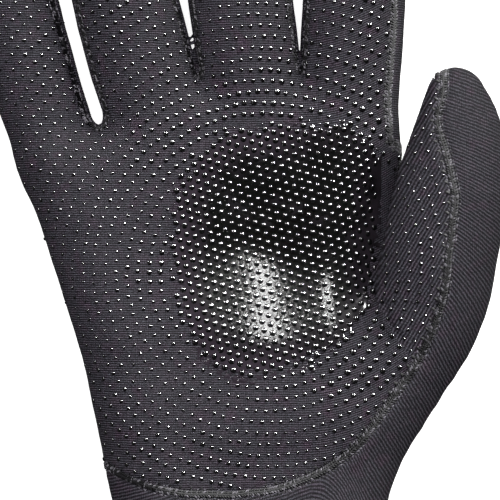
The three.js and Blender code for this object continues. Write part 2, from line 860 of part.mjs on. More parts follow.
function nearestFinger(point) {
  const found = fingerChains.map((chain, index) => ({
    index,
    ...digitField(chain, point.x, point.y, point.z),
  }));
  return found.reduce((best, next) => (next.distance < best.distance ? next : best));
}

const little = fingerChains[0];

// Positive above the seam between the front and back panels, which runs low along
// the little-finger side so that the palm panel wraps round that edge.
function aboveSideSeam(point) {
  const section = sectionAt(point.y);
  const finger = nearestFinger(point);
  const slabMiddle = section.half + section.lift - restingPress;
  const onFingers = smoothStep(0.25, 0.5, point.y / palmLength);
  const middle = mix(slabMiddle, finger.height, onFingers);
  const edge = digitAt(little, Math.max(point.y, little.stations[0].y));
  const outward = point.y > little.stations[0].y ? edge.x - point.x : -point.x;
  const wrap = smoothStep(0, fingerWidth / 3, outward) * (1 - smoothStep(0.7, 1, finger.share));
  return point.z - middle + wrap * section.half * 0.45;
}

// Positive on the strip between two fingers, or down the index finger's outer side.
function sideStrip(point, index) {
  const finger = nearestFinger(point);
  const before = index - 1;
  const side = point.x - finger.x;
  const onSide = finger.index === before ? side : -side;
  const outer = index === fingerChains.length;
  const half = outer ? indexStripHalfHeight : stripHalfHeight;
  if (finger.index !== before && finger.index !== index) return -half;
  const taper = 1 - smoothStep(0.72, 0.97, finger.share);
  const band = half * taper - Math.abs(point.z - finger.height);
  const reach = point.y - (outer ? indexStripStart : fingerRoot.along);
  return Math.min(band, onSide - 1, reach);
}

// Positive on the thumb, and negative on the palm and the back of the hand. The line
// is the crease between them, and further down the foot of the thumb's front panel.
function offPalm(point) {
  const digit = digitField(thumbChain, point.x, point.y, point.z);
  const crease = (handField(point.x, point.y, point.z) - digit.distance) / 2;
  const foot = -planDistance(thumbFootCurve, false, point.x, point.y);
  return mix(crease, foot, smoothStep(0.02 * palmLength, -0.1 * palmLength, point.y));
}

// Positive on the thumb's front half and a little way round to its back.
function onThumbFront(point) {
  const digit = digitField(thumbChain, point.x, point.y, point.z);
  return point.z - digit.height + 0.75 * digit.radius;
}

// Positive on the thumb's inner face, from its front seam round to its back.
function thumbFace(point) {
  return Math.min(palmSideOfSeam(point), offPalm(point), onThumbFront(point));
}

const stripNames = [
  "fourchette_little_ring",
  "fourchette_ring_middle",
  "fourchette_middle_index",
  "index_side_strip",
];
const strips = stripNames.map((name, i) => ({
  name,
  keep: (point) => sideStrip(point, i + 1),
}));

// Positive on the palm's own panel, which the front seam and the side seam bound.
function palmSide(point) {
  const offThumb = Math.max(-offPalm(point), onThumbFront(point));
  return Math.min(palmSideOfSeam(point), aboveSideSeam(point), offThumb);
}

// Materials

const palmJersey = new THREE.MeshStandardMaterial({ color: 0x4a444b, roughness: 0.85 });
const backJersey = new THREE.MeshStandardMaterial({ color: 0x4b434d, roughness: 0.85 });
const padRubber = new THREE.MeshStandardMaterial({ color: 0x141414, roughness: 0.25 });

// The glove

const glove = new THREE.Group();
const solids = [];

function addPiece(name, sheet, material) {
  const solid = trimmed(sheet, solids);
  solids.push(solid);
  const { vertProperties, triVerts } = solid.getMesh();
  const geometry = new THREE.BufferGeometry();
  geometry.setAttribute("position", new THREE.BufferAttribute(vertProperties, 3));
  geometry.setIndex(new THREE.BufferAttribute(triVerts, 1));
  geometry.computeVertexNormals();
  const mesh = new THREE.Mesh(geometry, material);
  mesh.name = name;
  glove.add(mesh);
}

function addPanel(name, triangles, material) {
  addPiece(name, thicken(triangles, () => 0, (vertex) => -vertex.depth), material);
}

const [sleeve, hand] = cutPanel(dressSkin(relax(meshSkin())), cuffDistance);
const [cuff] = cutPanel(sleeve, (point) => point.y - cuffEnd);
let rest = hand;
const stripPanels = strips.map((strip) => {
  const [panel, remainder] = cutPanel(rest, strip.keep);
  rest = remainder;
  return { name: strip.name, panel };
});
const [thumbFront, body] = cutPanel(rest, thumbFace);
const [palm, back] = cutPanel(body, palmSide);
const underPad = (point) => -planDistance(padEdge, true, point.x, point.y);
const [pad, palmMargin] = cutPanel(palm, underPad);
const backPanel = mainPart(back).main;
const stripTriangles = stripPanels.flatMap(({ panel }) => panel);
thinFolds([...pad, ...palmMargin, ...thumbFront, ...backPanel, ...stripTriangles, ...cuff]);

addPanel("palm_panel", [...pad, ...palmMargin], palmJersey);
addPanel("thumb_front", thumbFront, palmJersey);
addPanel("back_panel", backPanel, backJersey);
stripPanels.forEach(({ name, panel }) => addPanel(name, panel, backJersey));
addPanel("cuff", cuff, backJersey);
addPiece("grip_pad", thicken(pad, () => padClearance + padThickness, () => padClearance), padRubber);

export default glove;
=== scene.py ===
"""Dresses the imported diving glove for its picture.

The glove is a right-hand one in 3 mm foamed rubber faced with nylon jersey, lying on
its back with the palm up. X runs towards the thumb, Y towards the fingertips and Z up
out of the palm. The sewn panels, the flat-locked seams and the printed rubber grip are
rebuilt here in fine detail over the frame's solids. Sizes are in millimetres, and the
meshes are made in metres.
"""

import logging
import math
from dataclasses import dataclass, field
from enum import Enum, IntEnum
from typing import Mapping, Optional, Sequence, Union

import bpy
import numpy as np
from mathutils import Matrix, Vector, kdtree, noise


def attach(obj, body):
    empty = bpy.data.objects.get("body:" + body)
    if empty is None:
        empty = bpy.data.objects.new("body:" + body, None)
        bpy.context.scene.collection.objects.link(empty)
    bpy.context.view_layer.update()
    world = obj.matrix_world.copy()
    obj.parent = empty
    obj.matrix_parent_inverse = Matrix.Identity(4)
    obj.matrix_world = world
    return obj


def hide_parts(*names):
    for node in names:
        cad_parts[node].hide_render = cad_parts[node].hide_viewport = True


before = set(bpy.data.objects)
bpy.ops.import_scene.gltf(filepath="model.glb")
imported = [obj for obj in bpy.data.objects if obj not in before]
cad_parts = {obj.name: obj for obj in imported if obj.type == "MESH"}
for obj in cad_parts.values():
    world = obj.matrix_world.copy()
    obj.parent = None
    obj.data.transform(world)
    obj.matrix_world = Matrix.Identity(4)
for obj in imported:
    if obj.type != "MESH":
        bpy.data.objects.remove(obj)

log = logging.getLogger("glove")

MM = 0.001
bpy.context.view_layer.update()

# A number, or an array of them worked out together.
Values = Union[float, np.ndarray]


def mix(a: Values, b: Values, share: Values) -> Values:
    """Returns the value at that share of the way from a to b."""
    return a + (b - a) * share


def smooth_step(low: Values, high: Values, value: Values) -> Values:
    """Rises smoothly from 0 to 1 as a value goes from low to high.

    Args:
        low: Where the rise starts. It may be more than high.
        high: Where the rise ends.
        value: The value.

    Returns:
        The share, of the same shape as the value.
    """
    share = np.clip((value - low) / (high - low), 0, 1)
    return share * share * (3 - 2 * share)


def smooth_min(a: Values, b: Values, blend: Values) -> Values:
    """Returns the lesser of two fields, run together over the length blend."""
    overlap = np.maximum(blend - np.abs(a - b), 0) / blend
    return np.minimum(a, b) - overlap * overlap * blend / 4


def smooth_max(a: Values, b: Values, blend: Values) -> Values:
    """Returns the greater of two fields, run together over the length blend."""
    return -smooth_min(-a, -b, blend)


def hash_noise(points: np.ndarray, grain: float, seed: float) -> np.ndarray:
    """Smooth noise at points in space.

    Args:
        points: The points in mm, a row for each.
        grain: The size of the noise's patches in mm.
        seed: Which noise it is.

    Returns:
        A value from about -1 to 1 for each point.
    """
    shift = Vector((seed, 2 * seed, 3 * seed))
    return np.array([noise.noise(Vector(point) / grain + shift) for point in points])


# Plan curves


def smooth_curve(points: Sequence[Sequence[float]], closed: bool, divisions: int) -> np.ndarray:
    """Runs a centripetal spline through points in plan.

    Args:
        points: The x and y of each point, in mm.
        closed: Whether the curve joins up.
        divisions: How many samples it has for each point.

    Returns:
        The sampled curve, a row for each sample.
    """
    knots = np.asarray(points, dtype=float)
    count = len(knots)
    spans = count if closed else count - 1
    shares = np.linspace(0, spans, divisions * count + 1)
    if closed:
        shares = shares[:-1]
    start = np.minimum(shares.astype(int), spans - 1)
    weight = (shares - start)[:, None]

    def knot(index: np.ndarray) -> np.ndarray:
        """Returns the knots at those places, carried straight on past open ends."""
        if closed:
            return knots[index % count]
        inner = knots[np.clip(index, 0, count - 1)]
        before = 2 * knots[0] - knots[1]
        after = 2 * knots[-1] - knots[-2]
        return np.where(index[:, None] < 0, before, np.where(index[:, None] >= count, after, inner))

    p0, p1, p2, p3 = (knot(start + shift) for shift in (-1, 0, 1, 2))
    gaps = [np.sqrt(np.linalg.norm(b - a, axis=1))[:, None] for a, b in ((p0, p1), (p1, p2), (p2, p3))]
    d0, d1, d2 = gaps
    leave = ((p1 - p0) / d0 - (p2 - p0) / (d0 + d1) + (p2 - p1) / d1) * d1
    arrive = ((p2 - p1) / d1 - (p3 - p1) / (d1 + d2) + (p3 - p2) / d2) * d1
    square = 3 * (p2 - p1) - 2 * leave - arrive
    cube = 2 * (p1 - p2) + leave + arrive
    return p1 + weight * (leave + weight * (square + weight * cube))


def plan_distance(curve: np.ndarray, closed: bool, x: Values, y: Values) -> np.ndarray:
    """Distance in plan to a curve.

    Args:
        curve: The sampled curve.
        closed: Whether it joins up.
        x: Where the distance is wanted, in mm.
        y: The same.

    Returns:
        The distance, negative inside a closed curve and on the left of an open one.
    """
    shape = np.broadcast(x, y).shape
    nearest = np.full(shape, np.inf)
    inside = np.zeros(shape, dtype=bool)
    left = np.ones(shape)
    ends = np.roll(curve, -1, axis=0) if closed else curve[1:]
    for (ax, ay), (bx, by) in zip(curve, ends):
        ux, uy = bx - ax, by - ay
        reach = np.clip(((x - ax) * ux + (y - ay) * uy) / (ux * ux + uy * uy), 0, 1)
        away = np.hypot(x - ax - reach * ux, y - ay - reach * uy)
        closer = away < nearest
        nearest = np.where(closer, away, nearest)
        if closed:
            crosses = (ay > y) != (by > y)
            slope = ux / uy if uy else 0.0
            inside ^= crosses & (x < ax + (y - ay) * slope)
        else:
            side = np.where(ux * (y - ay) - uy * (x - ax) < 0, -1.0, 1.0)
            left = np.where(closer, side, left)
    return np.where(inside, -nearest, nearest) if closed else -left * nearest


# The glove's form


def refined(rows: np.ndarray, divisions: int) -> np.ndarray:
    """Fills in rows of numbers, so that they change smoothly from one to the next.

    Args:
        rows: The rows.
        divisions: How many steps to make of each.

    Returns:
        The rows and those between them.
    """
    ends = np.vstack((2 * rows[0] - rows[1], rows, 2 * rows[-1] - rows[-2]))
    share = np.linspace(0, 1, divisions, endpoint=False)[:, None]
    parts = [
        b + 0.5 * share * (c - a + share * (2 * a - 5 * b + 4 * c - d + share * (3 * b - a - 3 * c + d)))
        for a, b, c, d in zip(ends, ends[1:], ends[2:], ends[3:])
    ]
    return np.concatenate((*parts, rows[-1:]))


@dataclass(frozen=True)
class Finger:
    """A finger, in shares of the glove's driving sizes, as in the part.

    Attributes:
        pitch: Step from the finger before, at the roots.
        width: Share of the finger width.
        length: Share of the finger length.
        splay: Lean towards the little finger at the root, in degrees.
        bend: How much of the lean is gone at the tip, in degrees.
    """

    pitch: float
    width: float
    length: float
    splay: float
    bend: float


@dataclass(frozen=True)
class Digit:
    """The axis of a finger or the thumb: stations with a radius each, in mm."""

    x: np.ndarray
    y: np.ndarray
    z: np.ndarray
    radius: np.ndarray
    flatness: float = 1.0

    def distance(self, x: Values, y: Values, z: Values) -> np.ndarray:
        """Returns the distance to the digit's skin."""
        return self.nearest(x, y, z)["distance"]

    def nearest(self, x: Values, y: Values, z: Values) -> dict[str, np.ndarray]:
        """Finds the nearest point of the axis.

        Args:
            x: Where it is wanted, in mm.
            y: The same.
            z: The same.

        Returns:
            The distance to the skin, the share of the way along the stations, and the
            height, radius and x of the axis there.
        """
        last = len(self.x) - 1
        best: dict[str, np.ndarray] = {}
        for i in range(last):
            ux, uy, uz = (float(c[i + 1] - c[i]) for c in (self.x, self.y, self.z))
            along = (x - self.x[i]) * ux + (y - self.y[i]) * uy + (z - self.z[i]) * uz
            reach = np.clip(along / (ux * ux + uy * uy + uz * uz), 0, 1)
            height = self.z[i] + reach * uz
            centre = self.x[i] + reach * ux
            radius = mix(self.radius[i], self.radius[i + 1], reach)
            across = (x - centre) ** 2 + (y - self.y[i] - reach * uy) ** 2
            distance = np.sqrt(across + ((z - height) / self.flatness) ** 2) - radius
            found = {
                "distance": distance,
                "share": (i + reach) / last,
                "height": height,
                "radius": radius,
                "x": centre,
            }
            if not best:
                best = found
                continue
            closer = distance < best["distance"]
            best = {name: np.where(closer, found[name], best[name]) for name in found}
        return best

    def centre_at(self, y: np.ndarray) -> np.ndarray:
        """Returns the x of the axis at each y, carried on past its ends."""
        i = np.clip(np.searchsorted(self.y, y), 1, len(self.y) - 1)
        share = (y - self.y[i - 1]) / (self.y[i] - self.y[i - 1])
        return mix(self.x[i - 1], self.x[i], share)


@dataclass(frozen=True)
class Groove:
    """A soft hollow of the palm, or a mound where its depth is negative, in mm."""

    start: np.ndarray
    run: np.ndarray
    width: float
    depth: float

    def depth_at(self, x: Values, y: Values) -> np.ndarray:
        """Returns how deep the hollow is at a place in plan."""
        along = (x - self.start[0]) * self.run[0] + (y - self.start[1]) * self.run[1]
        reach = np.clip(along / float(self.run @ self.run), 0, 1)
        away = np.hypot(x - self.start[0] - reach * self.run[0], y - self.start[1] - reach * self.run[1])
        return self.depth * np.exp(-((away / self.width) ** 2))


class Panel(IntEnum):
    """The pieces that the skin is cut into."""

    CUFF = 0
    LITTLE_RING = 1
    RING_MIDDLE = 2
    MIDDLE_INDEX = 3
    INDEX_SIDE = 4
    THUMB_FRONT = 5
    PALM = 6
    BACK = 7


@dataclass
class GloveForm:
    """The glove's outer form as one field, negative inside, with the part's own sizes in mm."""

    finger_width: float = 31.0
    finger_flatness: float = 0.88
    finger_length: float = 116.0
    finger_curl: float = 14.0
    thumb_width: float = 33.4
    thumb_length: float = 112.0
    palm_length: float = 120.0
    palm_thickness: float = 36.0
    wrist_width: float = 78.0
    cuff_width: float = 86.0
    cuff_height: float = 45.0
    cuff_length: float = 62.0
    cuff_overrun: float = 40.0
    resting_press: float = 1.5
    resting_round: float = 1.2
    web_blend: float = 5.0
    # The real crease between palm and thumb is sharper than the solids can have it.
    thumb_crease: float = 4.0
    thumb_blend: float = 12.0
    strip_half_height: float = 5.0
    index_strip_half_height: float = 8.0
    stations: int = 7
    fingers: tuple[Finger, ...] = (
        Finger(0, 0.84, 0.675, 21, -10),
        Finger(1.02, 1.01, 0.9, 17.5, -4),
        Finger(0.85, 1, 1, 8.6, -2),
        Finger(0.75, 0.985, 0.915, -3.6, 1),
    )
    # Thumb from its tip to the heel: across, along, height, radius and the front seam's
    # place, in shares of the knuckles' width, the thumb's length, the palm's thickness,
    # the thumb's width and the radius.
    thumb: tuple[tuple[float, ...], ...] = (
        (0.538, 0.441, 0.86, 0.255, -0.5),
        (0.543, 0.375, 0.85, 0.345, -0.58),
        (0.54, 0.3, 0.84, 0.42, -0.28),
        (0.526, 0.2, 0.82, 0.483, 0),
        (0.495, 0.04, 0.77, 0.5, 0.12),
        (0.475, -0.075, 0.71, 0.49, 0.15),
        (0.418, -0.2, 0.64, 0.47, 0.25),
    )
    heel: tuple[tuple[float, ...], ...] = ((0.31, -0.36, 0.56, 0.36), (0.21, -0.5, 0.53, 0.3))
    palm_outline: tuple[tuple[float, float], ...] = (
        (-0.378, -0.5),
        (-0.424, -0.26),
        (-0.475, -0.1),
        (-0.533, 0.06),
        (-0.583, 0.18),
        (-0.612, 0.275),
        (-0.56, 0.345),
        (-0.41, 0.335),
        (-0.27, 0.425),
        (-0.135, 0.46),
        (0.123, 0.462),
        (0.29, 0.455),
        (0.382, 0.35),
        (0.405, 0.17),
        (0.43, -0.02),
        (0.45, -0.2),
        (0.425, -0.33),
        (0.38, -0.45),
    )
    # Depth of the hand along the palm: along, depth and lift off the surface beneath.
    palm_sections: tuple[tuple[float, float, float], ...] = (
        (0.56, 0.72, 0),
        (0.36, 0.76, 0),
        (0.1, 0.9, 0),
        (-0.2, 1.04, 0),
        (-0.42, 1.1, 0.03),
    )
    # Hollows and mounds of the palm, in shares: from, to, width and depth. The last is the
    # shallow valley under the printed pad.
    palm_forms: tuple[tuple[float, ...], ...] = (
        (0.02, 0.08, 0.2, -0.06, 0.75, 0.13),
        (0.35, 0.2, 0.345, -0.1, 0.26, 0.16),
        (-0.36, -0.28, -0.42, 0.02, 0.5, -0.06),
        (0.25, -0.3, 0.33, -0.2, 0.5, -0.06),
        (-0.42, 0.26, 0.2, 0.36, 0.3, -0.04),
        (-0.05, -0.5, 0.2, -0.46, 0.3, 0.06),
        (0.09, 0.3, -0.02, -0.3, 0.5, 0.03),
    )
    heel_seam: tuple[tuple[float, float], ...] = (
        (0.357, -0.321),
        (0.256, -0.435),
        (0.097, -0.511),
        (-0.071, -0.532),
        (-0.238, -0.518),
        (-0.37, -0.475),
        (-0.5, -0.41),
    )
    # The crease between the palm and the thumb, in mm.
    crease_line: tuple[tuple[float, float], ...] = (
        (41.3, 29),
        (39.2, 20),
        (37.8, 10),
        (35.9, 0),
        (35.2, -8.6),
        (36.6, -14.7),
        (39.4, -19.5),
    )
    # The foot of the thumb's front panel and the printed pad, in shares of the palm.
    thumb_foot: tuple[tuple[float, float], ...] = (
        (0.32, -0.05),
        (0.345, -0.1),
        (0.385, -0.17),
        (0.46, -0.24),
    )
    pad_outline: tuple[tuple[float, float], ...] = (
        (-0.196, 0.083),
        (-0.17, 0.214),
        (-0.092, 0.297),
        (0.04, 0.333),
        (0.184, 0.328),
        (0.275, 0.283),
        (0.31, 0.2),
        (0.3, 0.1),
        (0.285, 0),
        (0.27, -0.083),
        (0.23, -0.167),
        (0.13, -0.213),
        (0, -0.238),
        (-0.11, -0.192),
        (-0.174, -0.083),
    )

    def __post_init__(self) -> None:
        """Works out the axes, curves and sections from the sizes."""
        span = sum(finger.pitch for finger in self.fingers) * self.finger_width
        ends = self.fingers[0].width + self.fingers[-1].width
        self.knuckles = span + self.finger_width * ends / 2
        self.wrist_along = -0.6 * self.palm_length
        self.cuff_seam = self.wrist_along - 0.06 * self.palm_length
        self.cuff_end = self.wrist_along - self.cuff_length
        self.strip_start = 0.3 * self.palm_length
        self.finger_digits = [self._finger_digit(i) for i in range(len(self.fingers))]
        self.thumb_digit = Digit(*refined(self._thumb_stations(), 3).T)
        self.grooves = [
            Groove(start, end - start, width * self.palm_thickness, depth * self.palm_thickness)
            for *places, width, depth in self.palm_forms
            for start, end in [self.on_palm([places[:2], places[2:]])]
        ]
        half, cuff_half = self.wrist_width / 2, self.cuff_width / 2
        below = self.cuff_end - self.cuff_overrun
        wrist = self.wrist_along
        outline = [(-cuff_half, below), (-cuff_half, self.cuff_end), (-half, wrist)]
        outline += [tuple(point) for point in self.on_palm(self.palm_outline)]
        outline += [(half, wrist), (cuff_half, self.cuff_end), (cuff_half, below)]
        self.slab_curve = smooth_curve(outline, True, 3)
        self.pad_curve = smooth_curve(self.on_palm(self.pad_outline), True, 4)
        self.foot_curve = smooth_curve(self.on_palm(self.thumb_foot), False, 4)
        self.seam_curve = smooth_curve(self._thumb_seam(), False, 3)
        self.crease_curve = smooth_curve(self.crease_line, False, 6)
        self._sections()

    def on_palm(self, shares: Sequence[Sequence[float]]) -> np.ndarray:
        """Returns the plan places, in mm, of shares of the knuckles' width and palm's length."""
        return np.asarray(shares, dtype=float) * (self.knuckles, self.palm_length)

    def _finger_digit(self, index: int) -> Digit:
        """Lays out the axis of a finger.

        Args:
            index: Which finger, from the little finger.

        Returns:
            Its axis, from the root to the tip.
        """
        finger = self.fingers[index]
        steps = sum(after.pitch for after in self.fingers[index + 1:])
        half = self.finger_width * finger.width / 2
        tip_half = 0.8 * half
        reach = self.finger_length * finger.length - tip_half
        share = np.linspace(0, 1, self.stations)
        filled = half * mix(0.94, 1, smooth_step(0, 0.55, share))
        lean = np.radians(finger.splay + finger.bend * smooth_step(0, 0.6, share))[:-1]
        stride = reach / (self.stations - 1)
        start_x = 0.25 * self.knuckles - steps * self.finger_width
        rise = self.finger_curl * finger.length
        return Digit(
            x=start_x - np.concatenate(([0], np.cumsum(np.sin(lean)))) * stride,
            y=0.25 * self.palm_length + np.concatenate(([0], np.cumsum(np.cos(lean)))) * stride,
            z=half * self.finger_flatness - self.resting_press / 2 + rise * share * share,
            radius=mix(filled, tip_half, share**3),
            flatness=self.finger_flatness,
        )

    def _thumb_stations(self) -> np.ndarray:
        """Returns the x, y, z and radius of the thumb's stations, from its tip to the heel of the hand."""
        shares = np.array([row[:4] for row in self.thumb] + list(self.heel)).T
        lengths = np.array([self.thumb_length] * len(self.thumb) + [self.palm_length] * len(self.heel))
        sizes = (self.knuckles, lengths, self.palm_thickness, self.thumb_width)
        return np.stack([share * size for share, size in zip(shares, sizes)], axis=1)

    def _thumb_seam(self) -> list[tuple[float, float]]:
        """Returns the plan points of the seam down the thumb and over the heel."""
        stations = self._thumb_stations()
        points = [(stations[0, 0] - 2, stations[0, 1] + self.thumb_width)]
        points += [(x + row[4] * radius, y) for (x, y, _, radius), row in zip(stations, self.thumb)]
        return points + [tuple(point) for point in self.on_palm(self.heel_seam)]

    def _sections(self) -> None:
        """Tables the hand's half depth and lift along y, from the cuff up."""
        rows = [
            (along * self.palm_length, depth * self.palm_thickness / 2, lift * self.palm_thickness)
            for along, depth, lift in self.palm_sections
        ]
        wrist_half = mix(self.palm_thickness, self.cuff_height, 0.45) / 2
        rows.append((self.wrist_along, wrist_half, 0.05 * self.palm_thickness))
        rows.append((self.cuff_end, self.cuff_height / 2, 0))
        self.section_y, self.section_half, self.section_lift = np.array(rows[::-1]).T

    def section_at(self, y: Values) -> tuple[np.ndarray, np.ndarray]:
        """Returns the half depth and the lift of the hand at each y."""
        i = np.clip(np.searchsorted(self.section_y, y), 1, len(self.section_y) - 1)
        low, high = self.section_y[i - 1], self.section_y[i]
        share = smooth_step(low, high, y)
        half = mix(self.section_half[i - 1], self.section_half[i], share)
        return half, mix(self.section_lift[i - 1], self.section_lift[i], share)

    def slab(self, x: Values, y: Values, z: Values) -> np.ndarray:
        """Returns the field of the palm and cuff."""
        half, lift = self.section_at(y)
        edge = plan_distance(self.slab_curve, True, x, y)
        middle = half + lift - self.resting_press
        flat = np.hypot(np.maximum(edge + half, 0), z - middle) - half
        on_front = smooth_step(0, half * 0.8, z - middle + half * 0.2)
        return flat + sum(groove.depth_at(x, y) for groove in self.grooves) * on_front

    def hand(self, x: Values, y: Values, z: Values) -> np.ndarray:
        """Returns the field of the palm, cuff and fingers."""
        slab = self.slab(x, y, z)
        fingers = self.finger_digits[0].distance(x, y, z)
        for digit in self.finger_digits[1:]:
            fingers = np.minimum(fingers, digit.distance(x, y, z))
        return smooth_min(slab, fingers, self.web_blend)

    def glove(self, x: Values, y: Values, z: Values) -> np.ndarray:
        """Returns the field of the whole glove."""
        blend = mix(self.thumb_blend, self.thumb_crease, smooth_step(-0.25 * self.palm_length, 0, y))
        joined = smooth_min(self.hand(x, y, z), self.thumb_digit.distance(x, y, z), blend)
        return smooth_max(joined, -z, self.resting_round)

    def slope(self, points: np.ndarray, value: np.ndarray) -> np.ndarray:
        """Returns the field's slope at points whose value is known."""
        probe = 0.05
        steps = [points + probe * axis for axis in np.eye(3)]
        return np.stack([(self.glove(*step.T) - value) / probe for step in steps], axis=1)

    def settle(self, points: np.ndarray, passes: int = 1) -> np.ndarray:
        """Moves points onto the skin.

        Args:
            points: The points in mm, a row for each.
            passes: How many times the step is taken.

        Returns:
            The moved points.
        """
        for _ in range(passes):
            value = self.glove(*points.T)
            slope = self.slope(points, value)
            steep = np.maximum((slope**2).sum(axis=1), 0.25)
            points = points - slope * (value / steep)[:, None]
        return points

    # Sides of the cuts. Each is positive on its own panel.

    def palm_side_of_seam(self, points: np.ndarray) -> np.ndarray:
        """Positive on the palm's side of the seam down the thumb and over the heel."""
        return plan_distance(self.seam_curve, False, points[:, 0], points[:, 1])

    def nearest_finger(self, points: np.ndarray) -> dict[str, np.ndarray]:
        """Returns which finger each point is nearest to, and the nearest place on its axis."""
        best: dict[str, np.ndarray] = {}
        for index, digit in enumerate(self.finger_digits):
            found = {**digit.nearest(*points.T), "index": np.full(len(points), index)}
            if best:
                closer = found["distance"] < best["distance"]
                found = {name: np.where(closer, found[name], best[name]) for name in found}
            best = found
        return best

    def above_side_seam(self, points: np.ndarray, finger: Mapping[str, np.ndarray]) -> np.ndarray:
        """Positive above the seam between the front and back panels."""
        x, y, z = points.T
        half, lift = self.section_at(y)
        on_fingers = smooth_step(0.25, 0.5, y / self.palm_length)
        middle = mix(half + lift - self.resting_press, finger["height"], on_fingers)
        little = self.finger_digits[0]
        outward = np.where(y > little.y[0], little.centre_at(np.maximum(y, little.y[0])) - x, -x)
        wrap = smooth_step(0, self.finger_width / 3, outward) * (1 - smooth_step(0.7, 1, finger["share"]))
        return z - middle + wrap * half * 0.45

    def side_strip(self, points: np.ndarray, finger: Mapping[str, np.ndarray], index: int) -> np.ndarray:
        """Positive on the strip between two fingers, or on the index finger's outer side."""
        outer = index == len(self.fingers)
        half = self.index_strip_half_height if outer else self.strip_half_height
        side = points[:, 0] - finger["x"]
        on_side = np.where(finger["index"] == index - 1, side, -side)
        band = half * (1 - smooth_step(0.72, 0.97, finger["share"])) - np.abs(points[:, 2] - finger["height"])
        start = self.strip_start if outer else 0.25 * self.palm_length
        strip = np.minimum(np.minimum(band, on_side - 1), points[:, 1] - start)
        beside = (finger["index"] == index - 1) | (finger["index"] == index)
        return np.where(beside, strip, -half)

    def off_palm(self, points: np.ndarray) -> np.ndarray:
        """Positive on the thumb's side of the crease and of the foot of its front panel."""
        x, y, z = points.T
        crease = (self.hand(x, y, z) - self.thumb_digit.distance(x, y, z)) / 2
        foot = -plan_distance(self.foot_curve, False, x, y)
        return mix(crease, foot, smooth_step(0.02 * self.palm_length, -0.1 * self.palm_length, y))

    def on_thumb_front(self, points: np.ndarray) -> np.ndarray:
        """Positive on the thumb's front half and a little way round to its back."""
        thumb = self.thumb_digit.nearest(*points.T)
        return points[:, 2] - thumb["height"] + 0.75 * thumb["radius"]

    def panel_at(self, points: np.ndarray) -> np.ndarray:
        """Names the panel that each point of the skin is on.

        Args:
            points: Points on the skin in mm, a row for each.

        Returns:
            A Panel value for each point.
        """
        finger = self.nearest_finger(points)
        seam, off_palm = self.palm_side_of_seam(points), self.off_palm(points)
        front = self.on_thumb_front(points)
        panel = np.full(len(points), int(Panel.BACK))
        palm = np.minimum(seam, self.above_side_seam(points, finger))
        panel[np.minimum(palm, np.maximum(-off_palm, front)) > 0] = Panel.PALM
        panel[np.minimum(np.minimum(seam, off_palm), front) > 0] = Panel.THUMB_FRONT
        for index in (4, 3, 2, 1):
            panel[self.side_strip(points, finger, index) > 0] = index
        panel[points[:, 1] < self.cuff_seam] = Panel.CUFF
        return panel

    def palm_height(self, x: np.ndarray, y: np.ndarray) -> np.ndarray:
        """Returns the height of the palm's skin above each place in plan."""
        low, high = np.full(x.shape, 10.0), np.full(x.shape, 48.0)
        for _ in range(22):
            middle = (low + high) / 2
            solid = self.glove(x, y, middle) < 0
            low, high = np.where(solid, middle, low), np.where(solid, high, middle)
        return (low + high) / 2


# The skin and its panels


@dataclass(frozen=True)
class Seam:
    """A seam between two panels, as chains of points on the skin.

    Attributes:
        panels: The two panels that meet there.
        chains: The points of each run of the seam, in mm.
        normals: The skin's outward normals at those points.
    """

    panels: tuple[Panel, Panel]
    chains: list[np.ndarray]
    normals: list[np.ndarray]


def sides_of(quads: np.ndarray) -> np.ndarray:
    """Returns the four sides of each face, as pairs of vertices in the direction that it goes round."""
    return np.concatenate([quads[:, [i, (i + 1) % 4]] for i in range(4)])


def vertex_means(values: np.ndarray, edges: np.ndarray, count: int) -> tuple[np.ndarray, np.ndarray]:
    """Averages the neighbours of each vertex along some edges.

    Args:
        values: A row for each vertex.
        edges: Pairs of vertices.
        count: How many vertices there are.

    Returns:
        The means, which are zero where a vertex has no edge, and each vertex's number of edges.
    """
    ends = np.concatenate((edges[:, 0], edges[:, 1]))
    others = np.concatenate((edges[:, 1], edges[:, 0]))
    degree = np.bincount(ends, minlength=count)
    columns = [np.bincount(ends, weights=values[others, i], minlength=count) for i in range(3)]
    return np.stack(columns, axis=1) / np.maximum(degree, 1)[:, None], degree


